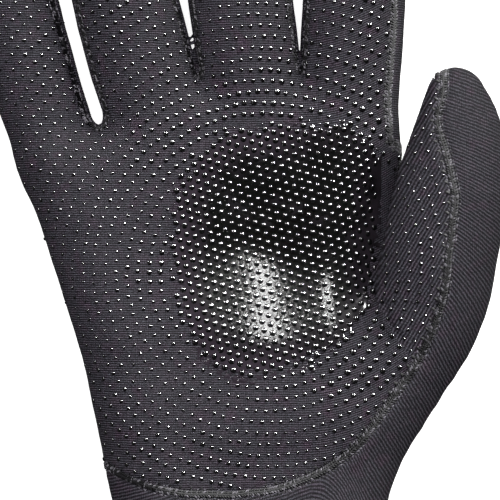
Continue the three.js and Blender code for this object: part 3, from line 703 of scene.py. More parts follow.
@dataclass
class Skin:
    """The fine skin of the glove, cut into panels along the seams."""

    form: GloveForm
    step: float = 1.0
    relax_passes: int = 3
    crumb_faces: int = 400
    seam_groove: float = 0.75
    seam_groove_width: float = 1.5
    seam_swell: float = 0.3
    fold_depth: float = 0.9
    fold_width: float = 0.75
    fold_above: float = 20.0
    # The cloth's rumples: depth, grain and which noise.
    rumples: tuple[tuple[float, float, float], ...] = ((0.22, 17, 3.1), (0.1, 6.5, 7.7))
    cut_passes: int = 10
    even_passes: int = 4
    sheet: float = 3.0
    unstitched: tuple[Panel, Panel] = (Panel.THUMB_FRONT, Panel.PALM)
    points: np.ndarray = field(init=False)
    quads: np.ndarray = field(init=False)
    labels: np.ndarray = field(init=False)
    normals: np.ndarray = field(init=False)
    seam_distance: np.ndarray = field(init=False)
    seams: list[Seam] = field(init=False)

    def build(self) -> None:
        """Meshes the skin, cuts it into panels and shapes the seams."""
        self.points, self.quads = self._surface_net()
        self._relax()
        log.info("skin: %d faces", len(self.quads))
        centres = self.points[self.quads].mean(axis=1)
        whole = centres[:, 1] > self.form.cuff_end
        self.quads, centres = self.quads[whole], centres[whole]
        self.labels = self.form.panel_at(centres)
        self._sweep_crumbs()
        self._smooth_cuts()
        self._find_normals()
        self.seams = self._find_seams()
        self._shape()
        self._find_normals()

    def _surface_net(self) -> tuple[np.ndarray, np.ndarray]:
        """Meshes the field's zero level with four-sided faces.

        Returns:
            The points in mm and the faces.
        """
        form = self.form
        digits = [*form.finger_digits, form.thumb_digit]
        reach_x = [(digit.x - digit.radius, digit.x + digit.radius) for digit in digits]
        low = np.array([min(a.min() for a, _ in reach_x) - 3, form.cuff_end - 6, -3.0])
        high = np.array([
            max(b.max() for _, b in reach_x) + 3,
            max((digit.y + digit.radius).max() for digit in digits) + 3,
            max((digit.z + digit.radius).max() for digit in digits) + 3,
        ])
        size = np.ceil((high - low) / self.step).astype(int) + 1
        axes = [low[i] + self.step * np.arange(size[i]) for i in range(3)]
        x, y, z = np.meshgrid(*axes, indexing="ij", sparse=True)
        values = form.glove(x, y, z)
        corners = np.array([[c & 1, (c >> 1) & 1, c >> 2] for c in range(8)])
        inside = values < 0
        cut = size - 1
        count = sum(inside[a:cut[0] + a, b:cut[1] + b, c:cut[2] + c].astype(np.int8) for a, b, c in corners)
        mixed = (count > 0) & (count < 8)
        cells = np.argwhere(mixed)
        vertex = np.full(mixed.shape, -1)
        vertex[mixed] = np.arange(len(cells))
        held = cells[:, None, :] + corners
        values_at = values[held[..., 0], held[..., 1], held[..., 2]]
        total, crossings = np.zeros((len(cells), 3)), np.zeros(len(cells))
        for a in range(8):
            for b in (a | 1, a | 2, a | 4):
                if a == b:
                    continue
                va, vb = values_at[:, a], values_at[:, b]
                crossed = (va < 0) != (vb < 0)
                share = np.where(crossed, va / np.where(crossed, va - vb, 1), 0)[:, None]
                total += np.where(crossed[:, None], mix(corners[a], corners[b], share), 0)
                crossings += crossed
        points = low + self.step * (cells + total / crossings[:, None])
        quads = []
        for n in range(3):
            here = inside[tuple(slice(0, -1) if i == n else slice(1, -1) for i in range(3))]
            there = inside[tuple(slice(1, None) if i == n else slice(1, -1) for i in range(3))]
            places = np.argwhere(here != there)
            solid = here[tuple(places.T)]
            places = places + [0 if i == n else 1 for i in range(3)]
            u, v = np.eye(3, dtype=int)[(n + 1) % 3], np.eye(3, dtype=int)[(n + 2) % 3]
            turns = ((0, 0), (1, 0), (1, 1), (0, 1))
            ring = np.stack([vertex[tuple((places - a * u - b * v).T)] for a, b in turns], axis=1)
            quads.append(np.where(solid[:, None], ring, ring[:, ::-1]))
        return points, np.concatenate(quads)

    def _edges(self) -> np.ndarray:
        """Returns each edge of the faces once, as a pair of vertices in rising order."""
        return np.unique(np.sort(sides_of(self.quads), axis=1), axis=0)

    def _relax(self) -> None:
        """Evens out the faces along the skin."""
        edges = self._edges()
        for _ in range(self.relax_passes):
            means, _ = vertex_means(self.points, edges, len(self.points))
            self.points = self.form.settle(mix(self.points, means, 0.5))

    def _face_pairs(self) -> tuple[np.ndarray, np.ndarray]:
        """Returns the edges that two faces share, as pairs of vertices and pairs of faces."""
        pairs = np.sort(sides_of(self.quads), axis=1)
        faces = np.tile(np.arange(len(self.quads)), 4)
        order = np.lexsort((pairs[:, 1], pairs[:, 0]))
        pairs, faces = pairs[order], faces[order]
        twins = np.flatnonzero((pairs[1:] == pairs[:-1]).all(axis=1))
        return pairs[twins], np.stack((faces[twins], faces[twins + 1]), axis=1)

    def _sweep_crumbs(self) -> None:
        """Gives each crumb that the cuts leave to the panel around it."""
        _, faces = self._face_pairs()
        for _ in range(4):
            group = np.arange(len(self.quads))
            same = faces[self.labels[faces[:, 0]] == self.labels[faces[:, 1]]]
            changed = True
            while changed:
                least = group.copy()
                np.minimum.at(least, same[:, 0], group[same[:, 1]])
                np.minimum.at(least, same[:, 1], least[same[:, 0]])
                least = least[least]
                changed = bool((least != group).any())
                group = least
            small = np.bincount(group, minlength=len(group))[group] < self.crumb_faces
            if not small.any():
                return
            for a, b in ((0, 1), (1, 0)):
                edge = small[faces[:, a]] & ~small[faces[:, b]]
                self.labels[faces[edge, a]] = self.labels[faces[edge, b]]

    def _cut_edges(self) -> tuple[np.ndarray, np.ndarray]:
        """Returns the edges between two panels, and the panels on both sides of each."""
        edges, faces = self._face_pairs()
        sides = np.sort(self.labels[faces], axis=1)
        cut = sides[:, 0] != sides[:, 1]
        return edges[cut], sides[cut]

    def _smooth_cuts(self) -> None:
        """Runs each cut smoothly between the points where three panels meet."""
        edges, _ = self._cut_edges()
        count = len(self.points)
        for _ in range(self.cut_passes):
            means, degree = vertex_means(self.points, edges, count)
            run = degree == 2
            self.points[run] = mix(self.points[run], means[run], 0.6)
        on_cut = np.zeros(count, dtype=bool)
        on_cut[edges] = True
        open_end = self.points[:, 1] < self.form.cuff_end + self.step
        all_edges = self._edges()
        for _ in range(self.even_passes):
            means, degree = vertex_means(self.points, all_edges, count)
            free = ~on_cut & ~open_end & (degree > 0)
            self.points[free] = mix(self.points[free], means[free], 0.5)
        used = np.zeros(count, dtype=bool)
        used[self.quads] = True
        border = used & open_end
        self.points[used] = self.form.settle(self.points[used])
        pairs, _ = self._face_pairs()
        shared = {tuple(pair) for pair in pairs.tolist()}
        rim = np.array([pair for pair in self._edges().tolist() if tuple(pair) not in shared]).ravel()
        rim = rim[border[rim]]
        self.points[rim, 1] = self.form.cuff_end

    def _find_normals(self) -> None:
        """Works out the outward normal at each point."""
        corners = self.points[self.quads]
        across = np.cross(corners[:, 2] - corners[:, 0], corners[:, 3] - corners[:, 1])
        total = np.zeros_like(self.points)
        for i in range(4):
            for axis in range(3):
                total[:, axis] += np.bincount(self.quads[:, i], across[:, axis], len(self.points))
        self.normals = total / np.maximum(np.linalg.norm(total, axis=1), 1e-9)[:, None]

    def _find_seams(self) -> list[Seam]:
        """Strings the cut edges together into the seams' chains.

        Returns:
            A seam for each pair of panels that meet.
        """
        edges, sides = self._cut_edges()
        seams = []
        for first, second in np.unique(sides, axis=0).tolist():
            here = edges[(sides[:, 0] == first) & (sides[:, 1] == second)]
            around: dict[int, list[int]] = {}
            for a, b in here.tolist():
                around.setdefault(a, []).append(b)
                around.setdefault(b, []).append(a)
            chains = []
            while around:
                ends = [vertex for vertex, others in around.items() if len(others) == 1]
                chain = [ends[0] if ends else next(iter(around))]
                while around.get(chain[-1]):
                    after = around[chain[-1]].pop()
                    around[after].remove(chain[-1])
                    chain.append(after)
                around = {vertex: others for vertex, others in around.items() if others}
                if len(chain) > 5:
                    chains.append(np.array(chain))
            if chains:
                points = [self.points[chain] for chain in chains]
                normals = [self.normals[chain] for chain in chains]
                seams.append(Seam((Panel(first), Panel(second)), points, normals))
        return seams

    def _shape(self) -> None:
        """Sinks the seams into the sheet, folds the thumb's crease and rumples the cloth a little."""
        stitched = [seam for seam in self.seams if seam.panels != self.unstitched]
        lines = np.concatenate([chain for seam in stitched for chain in seam.chains])
        tree = kdtree.KDTree(len(lines))
        for i, point in enumerate(lines):
            tree.insert(point, i)
        tree.balance()
        self.seam_distance = np.array([tree.find(point)[2] for point in self.points])
        # Where a seam runs round the outline, the sheet stays as full there as beside it.
        seen = mix(0.25, 1, smooth_step(0.15, 0.6, np.abs(self.normals[:, 2])))
        away = self.seam_distance / self.seam_groove_width
        sink = self.seam_groove * np.exp(-(away**2)) - self.seam_swell * np.exp(-((away - 2) ** 2))
        x, y, z = self.points.T
        rumple = sum(depth * hash_noise(self.points, grain, seed) for depth, grain, seed in self.rumples)
        folds = sum(
            self.fold_depth * np.exp(-((plan_distance(line, False, x, y) / self.fold_width) ** 2))
            for line in self._fold_lines()
        ) * (z > self.fold_above)
        self.points = self.points + self.normals * (rumple - sink * seen - folds)[:, None]

    def _fold_lines(self) -> list[np.ndarray]:
        """Returns the crease and the short fold where the thumb's front panel bends into the palm."""
        fold = [(37.9, -9.4), (39.2, -13.5), (41, -17), (43.2, -20)]
        return [self.form.crease_curve, smooth_curve(fold, False, 6)]


# Finishes


def linear(colour: str) -> tuple[float, float, float, float]:
    """Turns an sRGB hex colour into the linear colour that a shader takes.

    Args:
        colour: Six hex digits.

    Returns:
        Red, green and blue as linear light, and an alpha of 1.
    """
    shares = [int(colour[i:i + 2], 16) / 255 for i in (0, 2, 4)]
    light = [share / 12.92 if share <= 0.04045 else ((share + 0.055) / 1.055) ** 2.4 for share in shares]
    return (light[0], light[1], light[2], 1.0)


def add_node(
    tree: bpy.types.NodeTree, kind: str, inputs: Optional[Mapping] = None, **settings: object
) -> bpy.types.Node:
    """Adds a node to a tree.

    Args:
        tree: The material's or the geometry's tree.
        kind: The node's type name.
        inputs: For a socket's name or number, the socket that it is linked to or its value.
        **settings: The node's own properties.

    Returns:
        The node.
    """
    node = tree.nodes.new(kind)
    for name, value in settings.items():
        setattr(node, name, value)
    for name, value in (inputs or {}).items():
        if isinstance(value, bpy.types.NodeSocket):
            tree.links.new(value, node.inputs[name])
        else:
            node.inputs[name].default_value = value
    return node


class Slot(Enum):
    """Names for material slots, which nothing in this script uses."""

    JERSEY_PALM = "jersey_palm"
    JERSEY_BACK = "jersey_back"
    GRIP_RUBBER = "grip_rubber"


@dataclass(frozen=True)
class NylonJersey:
    """Knitted nylon jersey bonded to foamed rubber, in a purplish charcoal dye.

    The colour follows the knit's own relief. The rows' ridges and single filaments are painted lighter, as
    painted highlight and sparkle, and the loops between them are painted darker, as painted shade, around the
    jersey's dye. The pattern counts rows and wales, and wanders a little, as stretched cloth does. Its sizes
    are in mm, apart from the ridge's height, which is in metres.
    """

    name: str = "nylon jersey, charcoal"
    # dark is the painted shade in the knit's loops, light the painted highlight on its ridges and filaments,
    # and middle the jersey's dye.
    dark: str = "1a151b"
    middle: str = "413942"
    light: str = "7d7280"
    tints: tuple[str, ...] = ("ffd8ee", "ffffff", "dff2ec", "fff0fa", "e4d4ff")
    drift: float = 5.0
    grain: float = 0.42
    grain_share: float = 5.5
    wander: float = 2.6316
    wander_share: float = 0.55
    leg_share: float = 0.2
    darkest: float = 1.2
    lightest: float = 4.3
    roughness: float = 0.8
    specular: float = 0.02
    ridge: float = 0.00022
    strength: float = 0.55

    def material(self) -> bpy.types.Material:
        """Returns the material."""
        material, tree, shader = new_material(self.name)
        knit = add_node(tree, "ShaderNodeAttribute", attribute_name="knit")
        split = add_node(tree, "ShaderNodeSeparateXYZ", {0: knit.outputs["Vector"]})
        place = add_node(tree, "ShaderNodeTexCoord")
        wander = add_node(
            tree,
            "ShaderNodeTexNoise",
            {"Vector": place.outputs["Object"], "Scale": 1000 / self.wander, "Detail": 2},
        )
        shift = add_node(
            tree, "ShaderNodeMath", {0: wander.outputs["Fac"], 1: self.wander_share}, operation="MULTIPLY"
        )
        row = add_node(tree, "ShaderNodeMath", {0: split.outputs["Y"], 1: shift.outputs[0]}, operation="ADD")
        turn = add_node(tree, "ShaderNodeMath", {0: row.outputs[0], 1: math.tau}, operation="MULTIPLY")
        ridge = add_node(tree, "ShaderNodeMath", {0: turn.outputs[0]}, operation="SINE")
        wale = add_node(tree, "ShaderNodeMath", {0: split.outputs["X"], 1: math.tau}, operation="MULTIPLY")
        leg = add_node(tree, "ShaderNodeMath", {0: wale.outputs[0]}, operation="SINE")
        legs = add_node(
            tree,
            "ShaderNodeMath",
            {0: leg.outputs[0], 1: self.leg_share, 2: ridge.outputs[0]},
            operation="MULTIPLY_ADD",
        )
        fibre = add_node(
            tree,
            "ShaderNodeTexNoise",
            {"Vector": place.outputs["Object"], "Scale": 1000 / self.grain, "Detail": 3, "Roughness": 0.7},
        )
        height = add_node(
            tree,
            "ShaderNodeMath",
            {0: fibre.outputs["Fac"], 1: self.grain_share, 2: legs.outputs[0]},
            operation="MULTIPLY_ADD",
        )
        # Painted light and shade: the colour goes from dark to light with the knit's height, the same height
        # that the bump raises.
        tone = add_node(
            tree,
            "ShaderNodeMapRange",
            {"Value": height.outputs[0], "From Min": self.darkest, "From Max": self.lightest},
        )
        drift = add_node(
            tree, "ShaderNodeTexNoise", {"Vector": place.outputs["Object"], "Scale": 1000 / self.drift}
        )
        # The first blend is the knit's painted light and shade, and the second is the cloth's random tints.
        painted_knit_light_and_tints = []
        for share, colours in ((tone, (self.dark, self.middle, self.light)), (drift, self.tints)):
            blend = add_node(tree, "ShaderNodeValToRGB", {0: share.outputs[0]})
            stops = blend.color_ramp.elements
            stops.remove(stops[1])
            stops[0].color = linear(colours[0])
            for i, colour in enumerate(colours[1:], start=1):
                stops.new(i / (len(colours) - 1)).color = linear(colour)
            stops[0].position = 0.0
            painted_knit_light_and_tints.append(blend.outputs["Color"])
        cloth = add_node(
            tree, "ShaderNodeMix", {0: 1.0, 6: painted_knit_light_and_tints[0], 7: painted_knit_light_and_tints[1]}, data_type="RGBA", blend_type="MULTIPLY"
        )
        bump = add_node(
            tree,
            "ShaderNodeBump",
            {"Height": height.outputs[0], "Distance": self.ridge, "Strength": self.strength},
        )
        tree.links.new(cloth.outputs[2], shader.inputs["Base Color"])
        tree.links.new(bump.outputs["Normal"], shader.inputs["Normal"])
        shader.inputs["Roughness"].default_value = self.roughness
        shader.inputs["Specular IOR Level"].default_value = self.specular
        return material


@dataclass(frozen=True)
class FoamEdge:
    """Cut foamed rubber: dull black with fine open cells."""

    name: str = "foamed rubber, cut edge"
    colour: str = "161517"
    roughness: float = 0.9
    cell: float = 0.25
    pit: float = 0.0001

    def material(self) -> bpy.types.Material:
        """Returns the material."""
        material, tree, shader = new_material(self.name)
        place = add_node(tree, "ShaderNodeTexCoord")
        cells = add_node(
            tree, "ShaderNodeTexVoronoi", {"Vector": place.outputs["Object"], "Scale": 1000 / self.cell}
        )
        bump = add_node(tree, "ShaderNodeBump", {"Height": cells.outputs["Distance"], "Distance": self.pit})
        tree.links.new(bump.outputs["Normal"], shader.inputs["Normal"])
        shader.inputs["Base Color"].default_value = linear(self.colour)
        shader.inputs["Roughness"].default_value = self.roughness
        return material


@dataclass(frozen=True)
class PrintedRubber:
    """Silicone rubber printed on cloth and cured: black, smooth and wet-looking.

    Where a piece's "thin" attribute is near 1, the print has soaked into the knit, which
    gives it the cloth's tone and no shine. A piece without the attribute is thick all over.
    """

    name: str = "silicone rubber, printed"
    colour: str = "0b0b0c"
    soaked: str = "453d46"
    shine: float = 0.5
    soaked_shine: float = 0.02
    soaked_from: float = 0.7
    roughness: float = 0.16
    refraction: float = 1.43
    uneven: float = 0.00005
    grain: float = 1.1

    def material(self) -> bpy.types.Material:
        """Returns the material."""
        material, tree, shader = new_material(self.name)
        place = add_node(tree, "ShaderNodeTexCoord")
        waves = add_node(
            tree,
            "ShaderNodeTexNoise",
            {"Vector": place.outputs["Object"], "Scale": 1000 / self.grain, "Detail": 2},
        )
        bump = add_node(tree, "ShaderNodeBump", {"Height": waves.outputs["Fac"], "Distance": self.uneven})
        thin = add_node(tree, "ShaderNodeAttribute", attribute_name="thin")
        tone = add_node(
            tree,
            "ShaderNodeMix",
            {"Factor": thin.outputs["Fac"], 6: linear(self.colour), 7: linear(self.soaked)},
            data_type="RGBA",
        )
        gloss = add_node(
            tree,
            "ShaderNodeMapRange",
            {
                "Value": thin.outputs["Fac"],
                "From Max": self.soaked_from,
                "To Min": self.shine,
                "To Max": self.soaked_shine,
            },
        )
        tree.links.new(tone.outputs[2], shader.inputs["Base Color"])
        tree.links.new(gloss.outputs["Result"], shader.inputs["Specular IOR Level"])
        tree.links.new(bump.outputs["Normal"], shader.inputs["Normal"])
        shader.inputs["Roughness"].default_value = self.roughness
        shader.inputs["IOR"].default_value = self.refraction
        return material


@dataclass(frozen=True)
class TexturedThread:
    """Textured nylon overlock thread: a soft black yarn whose crimped filaments show grey."""

    name: str = "textured nylon thread"
    dark: str = "0e0d10"
    light: str = "97939c"
    roughness: float = 0.8
    specular: float = 0.12
    filament: float = 0.3
    crimp: float = 0.0001

    def material(self) -> bpy.types.Material:
        """Returns the material."""
        material, tree, shader = new_material(self.name)
        shade = add_node(tree, "ShaderNodeAttribute", attribute_name="shade")
        place = add_node(tree, "ShaderNodeTexCoord")
        crimp = add_node(
            tree, "ShaderNodeTexNoise", {"Vector": place.outputs["Object"], "Scale": 1000 / self.filament}
        )
        tone = add_node(
            tree, "ShaderNodeMath", {0: crimp.outputs["Fac"], 1: shade.outputs["Fac"]}, operation="MULTIPLY"
        )
        blend = add_node(
            tree,
            "ShaderNodeMix",
            {"Factor": tone.outputs[0], 6: linear(self.dark), 7: linear(self.light)},
            data_type="RGBA",
        )
        bump = add_node(tree, "ShaderNodeBump", {"Height": crimp.outputs["Fac"], "Distance": self.crimp})
        tree.links.new(blend.outputs[2], shader.inputs["Base Color"])
        tree.links.new(bump.outputs["Normal"], shader.inputs["Normal"])
        shader.inputs["Roughness"].default_value = self.roughness
        shader.inputs["Specular IOR Level"].default_value = self.specular
        return material


def new_material(name: str) -> tuple[bpy.types.Material, bpy.types.NodeTree, bpy.types.Node]:
    """Starts a node material.

    Args:
        name: Its name.

    Returns:
        The material, its tree and its surface shader.
    """
    material = bpy.data.materials.new(name)
    material.use_nodes = True
    return material, material.node_tree, material.node_tree.nodes["Principled BSDF"]


# Making meshes


def make_object(
    name: str, points: np.ndarray, faces: np.ndarray, materials: Sequence[bpy.types.Material]
) -> bpy.types.Object:
    """Makes a mesh object at the origin.

    Args:
        name: Its name.
        points: Its points in mm.
        faces: Its faces.
        materials: Its materials, in the order that its faces number them.

    Returns:
        The object.
    """
    mesh = bpy.data.meshes.new(name)
    mesh.from_pydata((points * MM).tolist(), [], faces.tolist())
    for material in materials:
        mesh.materials.append(material)
    mesh.shade_smooth()
    thing = bpy.data.objects.new(name, mesh)
    bpy.context.collection.objects.link(thing)
    return thing


def store(thing: bpy.types.Object, name: str, values: np.ndarray) -> None:
    """Keeps a number or a vector for each point of an object, under a name."""
    kind, key = ("FLOAT_VECTOR", "vector") if values.ndim == 2 else ("FLOAT", "value")
    layer = thing.data.attributes.new(name, kind, "POINT")
    layer.data.foreach_set(key, values.astype(np.float32).ravel())


def dress(thing: bpy.types.Object, nodes: Sequence[str] = ()) -> None:
    """Hands a finished piece to the frame.

    Args:
        thing: The piece.
        nodes: The CAD nodes that it stands for.
    """
    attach(thing, "root")
    if nodes:
        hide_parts(*nodes)
    log.info("%s: %d faces", thing.name, len(thing.data.polygons))


def border_edges(faces: np.ndarray) -> np.ndarray:
    """Returns the edges that only one face has, in the direction that it goes round."""
    pairs = sides_of(faces)
    keys = np.sort(pairs, axis=1)
    _, first, counts = np.unique(keys, axis=0, return_index=True, return_counts=True)
    return pairs[first[counts == 1]]


def own_points(quads: np.ndarray) -> tuple[np.ndarray, np.ndarray]:
    """Returns the points that some faces use, and the faces with those numbered from 0."""
    used, faces = np.unique(quads, return_inverse=True)
    return used, faces.reshape(-1, 4)


def sheet_faces(faces: np.ndarray, count: int) -> np.ndarray:
    """Closes a surface into a sheet, whose underside has its points in the same order.

    Args:
        faces: The upper faces.
        count: How many points they have.

    Returns:
        The upper faces, the lower ones and the walls round the rim.
    """
    rim = border_edges(faces)
    walls = np.stack((rim[:, 1], rim[:, 0], rim[:, 0] + count, rim[:, 1] + count), axis=1)
    return np.concatenate((faces, faces[:, ::-1] + count, walls))


@dataclass
class SewnPanels:
    """The sewn panels: jersey outside, a foamed rubber sheet and a jersey lining."""

    skin: Skin
    # The real knit is too fine to show in the picture, so its rows and wales are drawn coarser.
    row_pitch: float = 0.66
    wale_pitch: float = 0.6
    thumb_row_pitch: float = 0.95
    normal_passes: int = 12
    names: Mapping[Panel, str] = field(default_factory=lambda: {
        Panel.CUFF: "cuff",
        Panel.LITTLE_RING: "fourchette_little_ring",
        Panel.RING_MIDDLE: "fourchette_ring_middle",
        Panel.MIDDLE_INDEX: "fourchette_middle_index",
        Panel.INDEX_SIDE: "index_side_strip",
        Panel.THUMB_FRONT: "thumb_front",
        Panel.PALM: "palm_panel",
        Panel.BACK: "back_panel",
    })

    def build(self) -> dict[Panel, bpy.types.Object]:
        """Builds every panel and hands it to the frame.

        Returns:
            The panels' objects.
        """
        jersey, foam = NylonJersey().material(), FoamEdge().material()
        made = {}
        for panel, node in self.names.items():
            made[panel] = self._panel(panel, f"{node}_sewn", [jersey, foam])
            dress(made[panel], [node])
        return made

    def _panel(self, panel: Panel, name: str, materials: Sequence[bpy.types.Material]) -> bpy.types.Object:
        """Builds a panel as a closed sheet.

        Args:
            panel: Which panel.
            name: The object's name.
            materials: The jersey and the foam.

        Returns:
            The object.
        """
        skin = self.skin
        used, faces = own_points(skin.quads[skin.labels == panel])
        outer, count = skin.points[used], len(used)
        inward = skin.normals[used]
        sides = sides_of(faces)
        for _ in range(self.normal_passes):
            inward = mix(inward, vertex_means(inward, sides, count)[0], 0.6)
        inward /= np.linalg.norm(inward, axis=1)[:, None]
        points = np.concatenate((outer, outer - skin.sheet * inward))
        every = sheet_faces(faces, count)
        thing = make_object(name, points, every, materials)
        surface = np.zeros(len(every), dtype=np.int32)
        surface[2 * len(faces):] = 1
        thing.data.polygons.foreach_set("material_index", surface)
        thing.data.set_sharp_from_angle(angle=math.radians(55))
        knit = self._knit(panel, outer)
        store(thing, "knit", np.concatenate((knit, knit)))
        return thing

    def _knit(self, panel: Panel, points: np.ndarray) -> np.ndarray:
        """Counts the jersey's wales and rows across a panel.

        Args:
            panel: Which panel.
            points: Its points in mm.

        Returns:
            For each point the number of its wale and row, and nothing.
        """
        x, y, _ = points.T
        wale, row = x / self.wale_pitch, y / self.row_pitch
        if panel == Panel.PALM:
            row = (y - 0.012 * np.maximum(x - 15, 0) ** 2) / self.row_pitch
        elif panel == Panel.THUMB_FRONT:
            slant = math.radians(60)
            across, along = math.sin(slant), math.cos(slant)
            row = (along * y - across * x) / self.thumb_row_pitch
            wale = (along * x + across * y) / self.thumb_row_pitch
        elif panel == Panel.BACK:
            # Round the thumb the rows run down to the right, and more steeply lower down.
            steep = np.radians(mix(58, 20, smooth_step(-30, 50, y)))
            slanted = y * np.cos(steep) + (x - 60) * np.sin(steep)
            row = mix(y - 0.3 * x, slanted, smooth_step(10, 34, x)) / self.thumb_row_pitch
        return np.stack((wale, row, np.zeros(len(points))), axis=1)


# The printed grip


@dataclass
class GripPad:
    """The rubber film printed on the palm, with its lattice of domes.

    Past the film's edge rubber still clings round the nearest domes, and at the foot of
    the pad strands of it run on from dome to dome.
    """

    form: GloveForm
    step: float = 0.42
    film: float = 0.24
    sunk: float = 0.25
    pitch: float = 2.55
    slope: float = -17.0
    dome_radius: float = 0.92
    dome_height: float = 0.62
    dome_limit: float = 1.7
    cling_limit: float = 1.9
    cling_radius: float = 1.12
    strand: float = 0.42
    strand_limit: float = 4.0
    strand_below: float = -14.0
    strand_middle: float = 2.0
    strand_reach: float = 17.0
    crease_room: float = 1.3

    def __post_init__(self) -> None:
        """Lays out the lattice."""
        first, second = math.radians(self.slope), math.radians(self.slope + 60)
        self.lattice = self.pitch * np.array([
            (math.cos(first), math.sin(first)), (math.cos(second), math.sin(second))
        ])

    def edge(self, x: np.ndarray, y: np.ndarray) -> np.ndarray:
        """Returns the distance past the film's uneven edge, negative on the film."""
        places = np.stack((x, y, np.zeros_like(x)), axis=-1).reshape(-1, 3)
        uneven = 1.6 * hash_noise(places, 6, 1.3) + 0.9 * hash_noise(places, 2.2, 4.1)
        # The film runs on to the thumb's crease, further than the solid pad.
        middle = smooth_step(-4, 12, y) * smooth_step(34, 24, y)
        beyond = smooth_step(14, 28, x) * (4.2 * smooth_step(-22, -8, y) + 4 * middle)
        edge = plan_distance(self.form.pad_curve, True, x, y) + uneven.reshape(x.shape) - beyond
        return np.maximum(edge, self.crease_room - plan_distance(self.form.crease_curve, False, x, y))

    def nodes_near(self, x: np.ndarray, y: np.ndarray) -> tuple[np.ndarray, np.ndarray]:
        """Returns the distances to the nearest dome and to the nearest line between domes."""
        counts = np.stack((x, y), axis=-1) @ np.linalg.inv(self.lattice)
        low = np.floor(counts)
        nearest = np.full(x.shape, np.inf)
        for step in ((0, 0), (1, 0), (0, 1), (1, 1)):
            node = (low + step) @ self.lattice
            nearest = np.minimum(nearest, np.hypot(x - node[..., 0], y - node[..., 1]))
        lines = np.full(x.shape, np.inf)
        for shares in (counts[..., 0], counts[..., 1], counts[..., 0] + counts[..., 1]):
            away = np.abs(shares - np.round(shares)) * self.pitch * math.sin(math.radians(60))
            lines = np.minimum(lines, away)
        return nearest, lines

    def build(self) -> bpy.types.Object:
        """Builds the film as a closed sheet over the palm and hands it to the frame."""
        low, high = self.form.pad_curve.min(axis=0) - 4, self.form.pad_curve.max(axis=0) + 4
        x, y = np.meshgrid(*(np.arange(a, b, self.step) for a, b in zip(low, high)), indexing="ij")
        edge = self.edge(x, y)
        nearest, lines = self.nodes_near(x, y)
        cling = (edge < self.cling_limit) & (nearest < self.cling_radius)
        at_foot = (y < self.strand_below) & (np.abs(x - self.strand_middle) < self.strand_reach)
        strands = (edge < self.strand_limit) & (lines < self.strand) & at_foot
        kept = (edge < 0) | cling | strands
        cells = kept[:-1, :-1] & kept[1:, :-1] & kept[1:, 1:] & kept[:-1, 1:]
        cells = self._without_corners(cells)
        i, j = np.nonzero(cells)
        number = np.arange(x.size).reshape(x.shape)
        quads = np.stack((number[i, j], number[i + 1, j], number[i + 1, j + 1], number[i, j + 1]), axis=1)
        used, faces = own_points(quads)
        count = len(used)
        across, along = x.ravel()[used], y.ravel()[used]
        border = np.zeros(count, dtype=bool)
        border[border_edges(faces)] = True
        height = self.form.palm_height(across, along)
        top = height + np.where(border, self.film * 0.2, self.film)
        points = np.concatenate((
            np.stack((across, along, top), axis=1), np.stack((across, along, height - self.sunk), axis=1)
        ))
        every = sheet_faces(faces, count)
        thing = make_object("grip_pad_film", points, every, [PrintedRubber().material()])
        # The print gets thinner towards its edge, least of all on the thumb's side.
        near_edge = smooth_step(-12, 1, np.tile(edge.ravel()[used], 2))
        thinned = near_edge * mix(1, 0.3, smooth_step(6, 20, points[:, 0]))
        store(thing, "thin", np.clip(thinned + 0.3 * hash_noise(points, 4.5, 7.7), 0, 0.9))
        dress(thing, ["grip_pad"])
        return thing

    @staticmethod
    def _without_corners(cells: np.ndarray) -> np.ndarray:
        """Fills one of each two cells that meet only at a corner, so that the film stays closed."""
        for _ in range(3):
            a, b = cells[:-1, :-1], cells[1:, 1:]
            c, d = cells[1:, :-1], cells[:-1, 1:]
            cells[1:, :-1] |= a & b & ~c & ~d
            cells[:-1, :-1] |= c & d & ~a & ~b
        return cells


def tree_with(
    name: str, sockets: Mapping[str, str]
) -> tuple[bpy.types.NodeTree, bpy.types.Node, bpy.types.Node]:
    """Starts a geometry tree with named inputs.

    Args:
        name: The tree's name.
        sockets: The kind of socket for each input's name.

    Returns:
        The tree, its input node and its output node.
    """
    tree = bpy.data.node_groups.new(name, "GeometryNodeTree")
    tree.interface.new_socket("Geometry", in_out="INPUT", socket_type="NodeSocketGeometry")
    tree.interface.new_socket("Geometry", in_out="OUTPUT", socket_type="NodeSocketGeometry")
    for label, kind in sockets.items():
        tree.interface.new_socket(label, in_out="INPUT", socket_type=kind)
    return tree, tree.nodes.new("NodeGroupInput"), tree.nodes.new("NodeGroupOutput")


def end_tree(
    tree: bpy.types.NodeTree,
    result: bpy.types.Node,
    shapes: bpy.types.NodeSocket,
    finish: bpy.types.NodeSocket,
) -> None:
    """Ends a geometry tree: its instances are made real, shaded smooth and given their finish.

    Args:
        tree: The tree.
        result: Its output node.
        shapes: The socket that the instances come from.
        finish: The socket of their material.
    """
    real = add_node(tree, "GeometryNodeRealizeInstances", {"Geometry": shapes})
    smooth = add_node(tree, "GeometryNodeSetShadeSmooth", {"Geometry": real.outputs[0]})
    dressed = add_node(tree, "GeometryNodeSetMaterial", {"Geometry": smooth.outputs[0], "Material": finish})
    tree.links.new(dressed.outputs[0], result.inputs[0])


def grow(thing: bpy.types.Object, tree: bpy.types.NodeTree, sizes: Mapping[str, object]) -> None:
    """Runs a geometry tree on an object and keeps the result as its plain mesh.

    Args:
        thing: The object.
        tree: The tree.
        sizes: A value for each of the tree's named inputs.
    """
    modifier = thing.modifiers.new(tree.name, "NODES")
    modifier.node_group = tree
    for item in tree.interface.items_tree:
        if item.in_out == "INPUT" and item.name in sizes:
            modifier[item.identifier] = sizes[item.name]
    thing.update_tag()
    graph = bpy.context.evaluated_depsgraph_get()
    mesh = bpy.data.meshes.new_from_object(thing.evaluated_get(graph), depsgraph=graph)
    mesh.name = thing.name
    thing.modifiers.clear()
    thing.data = mesh


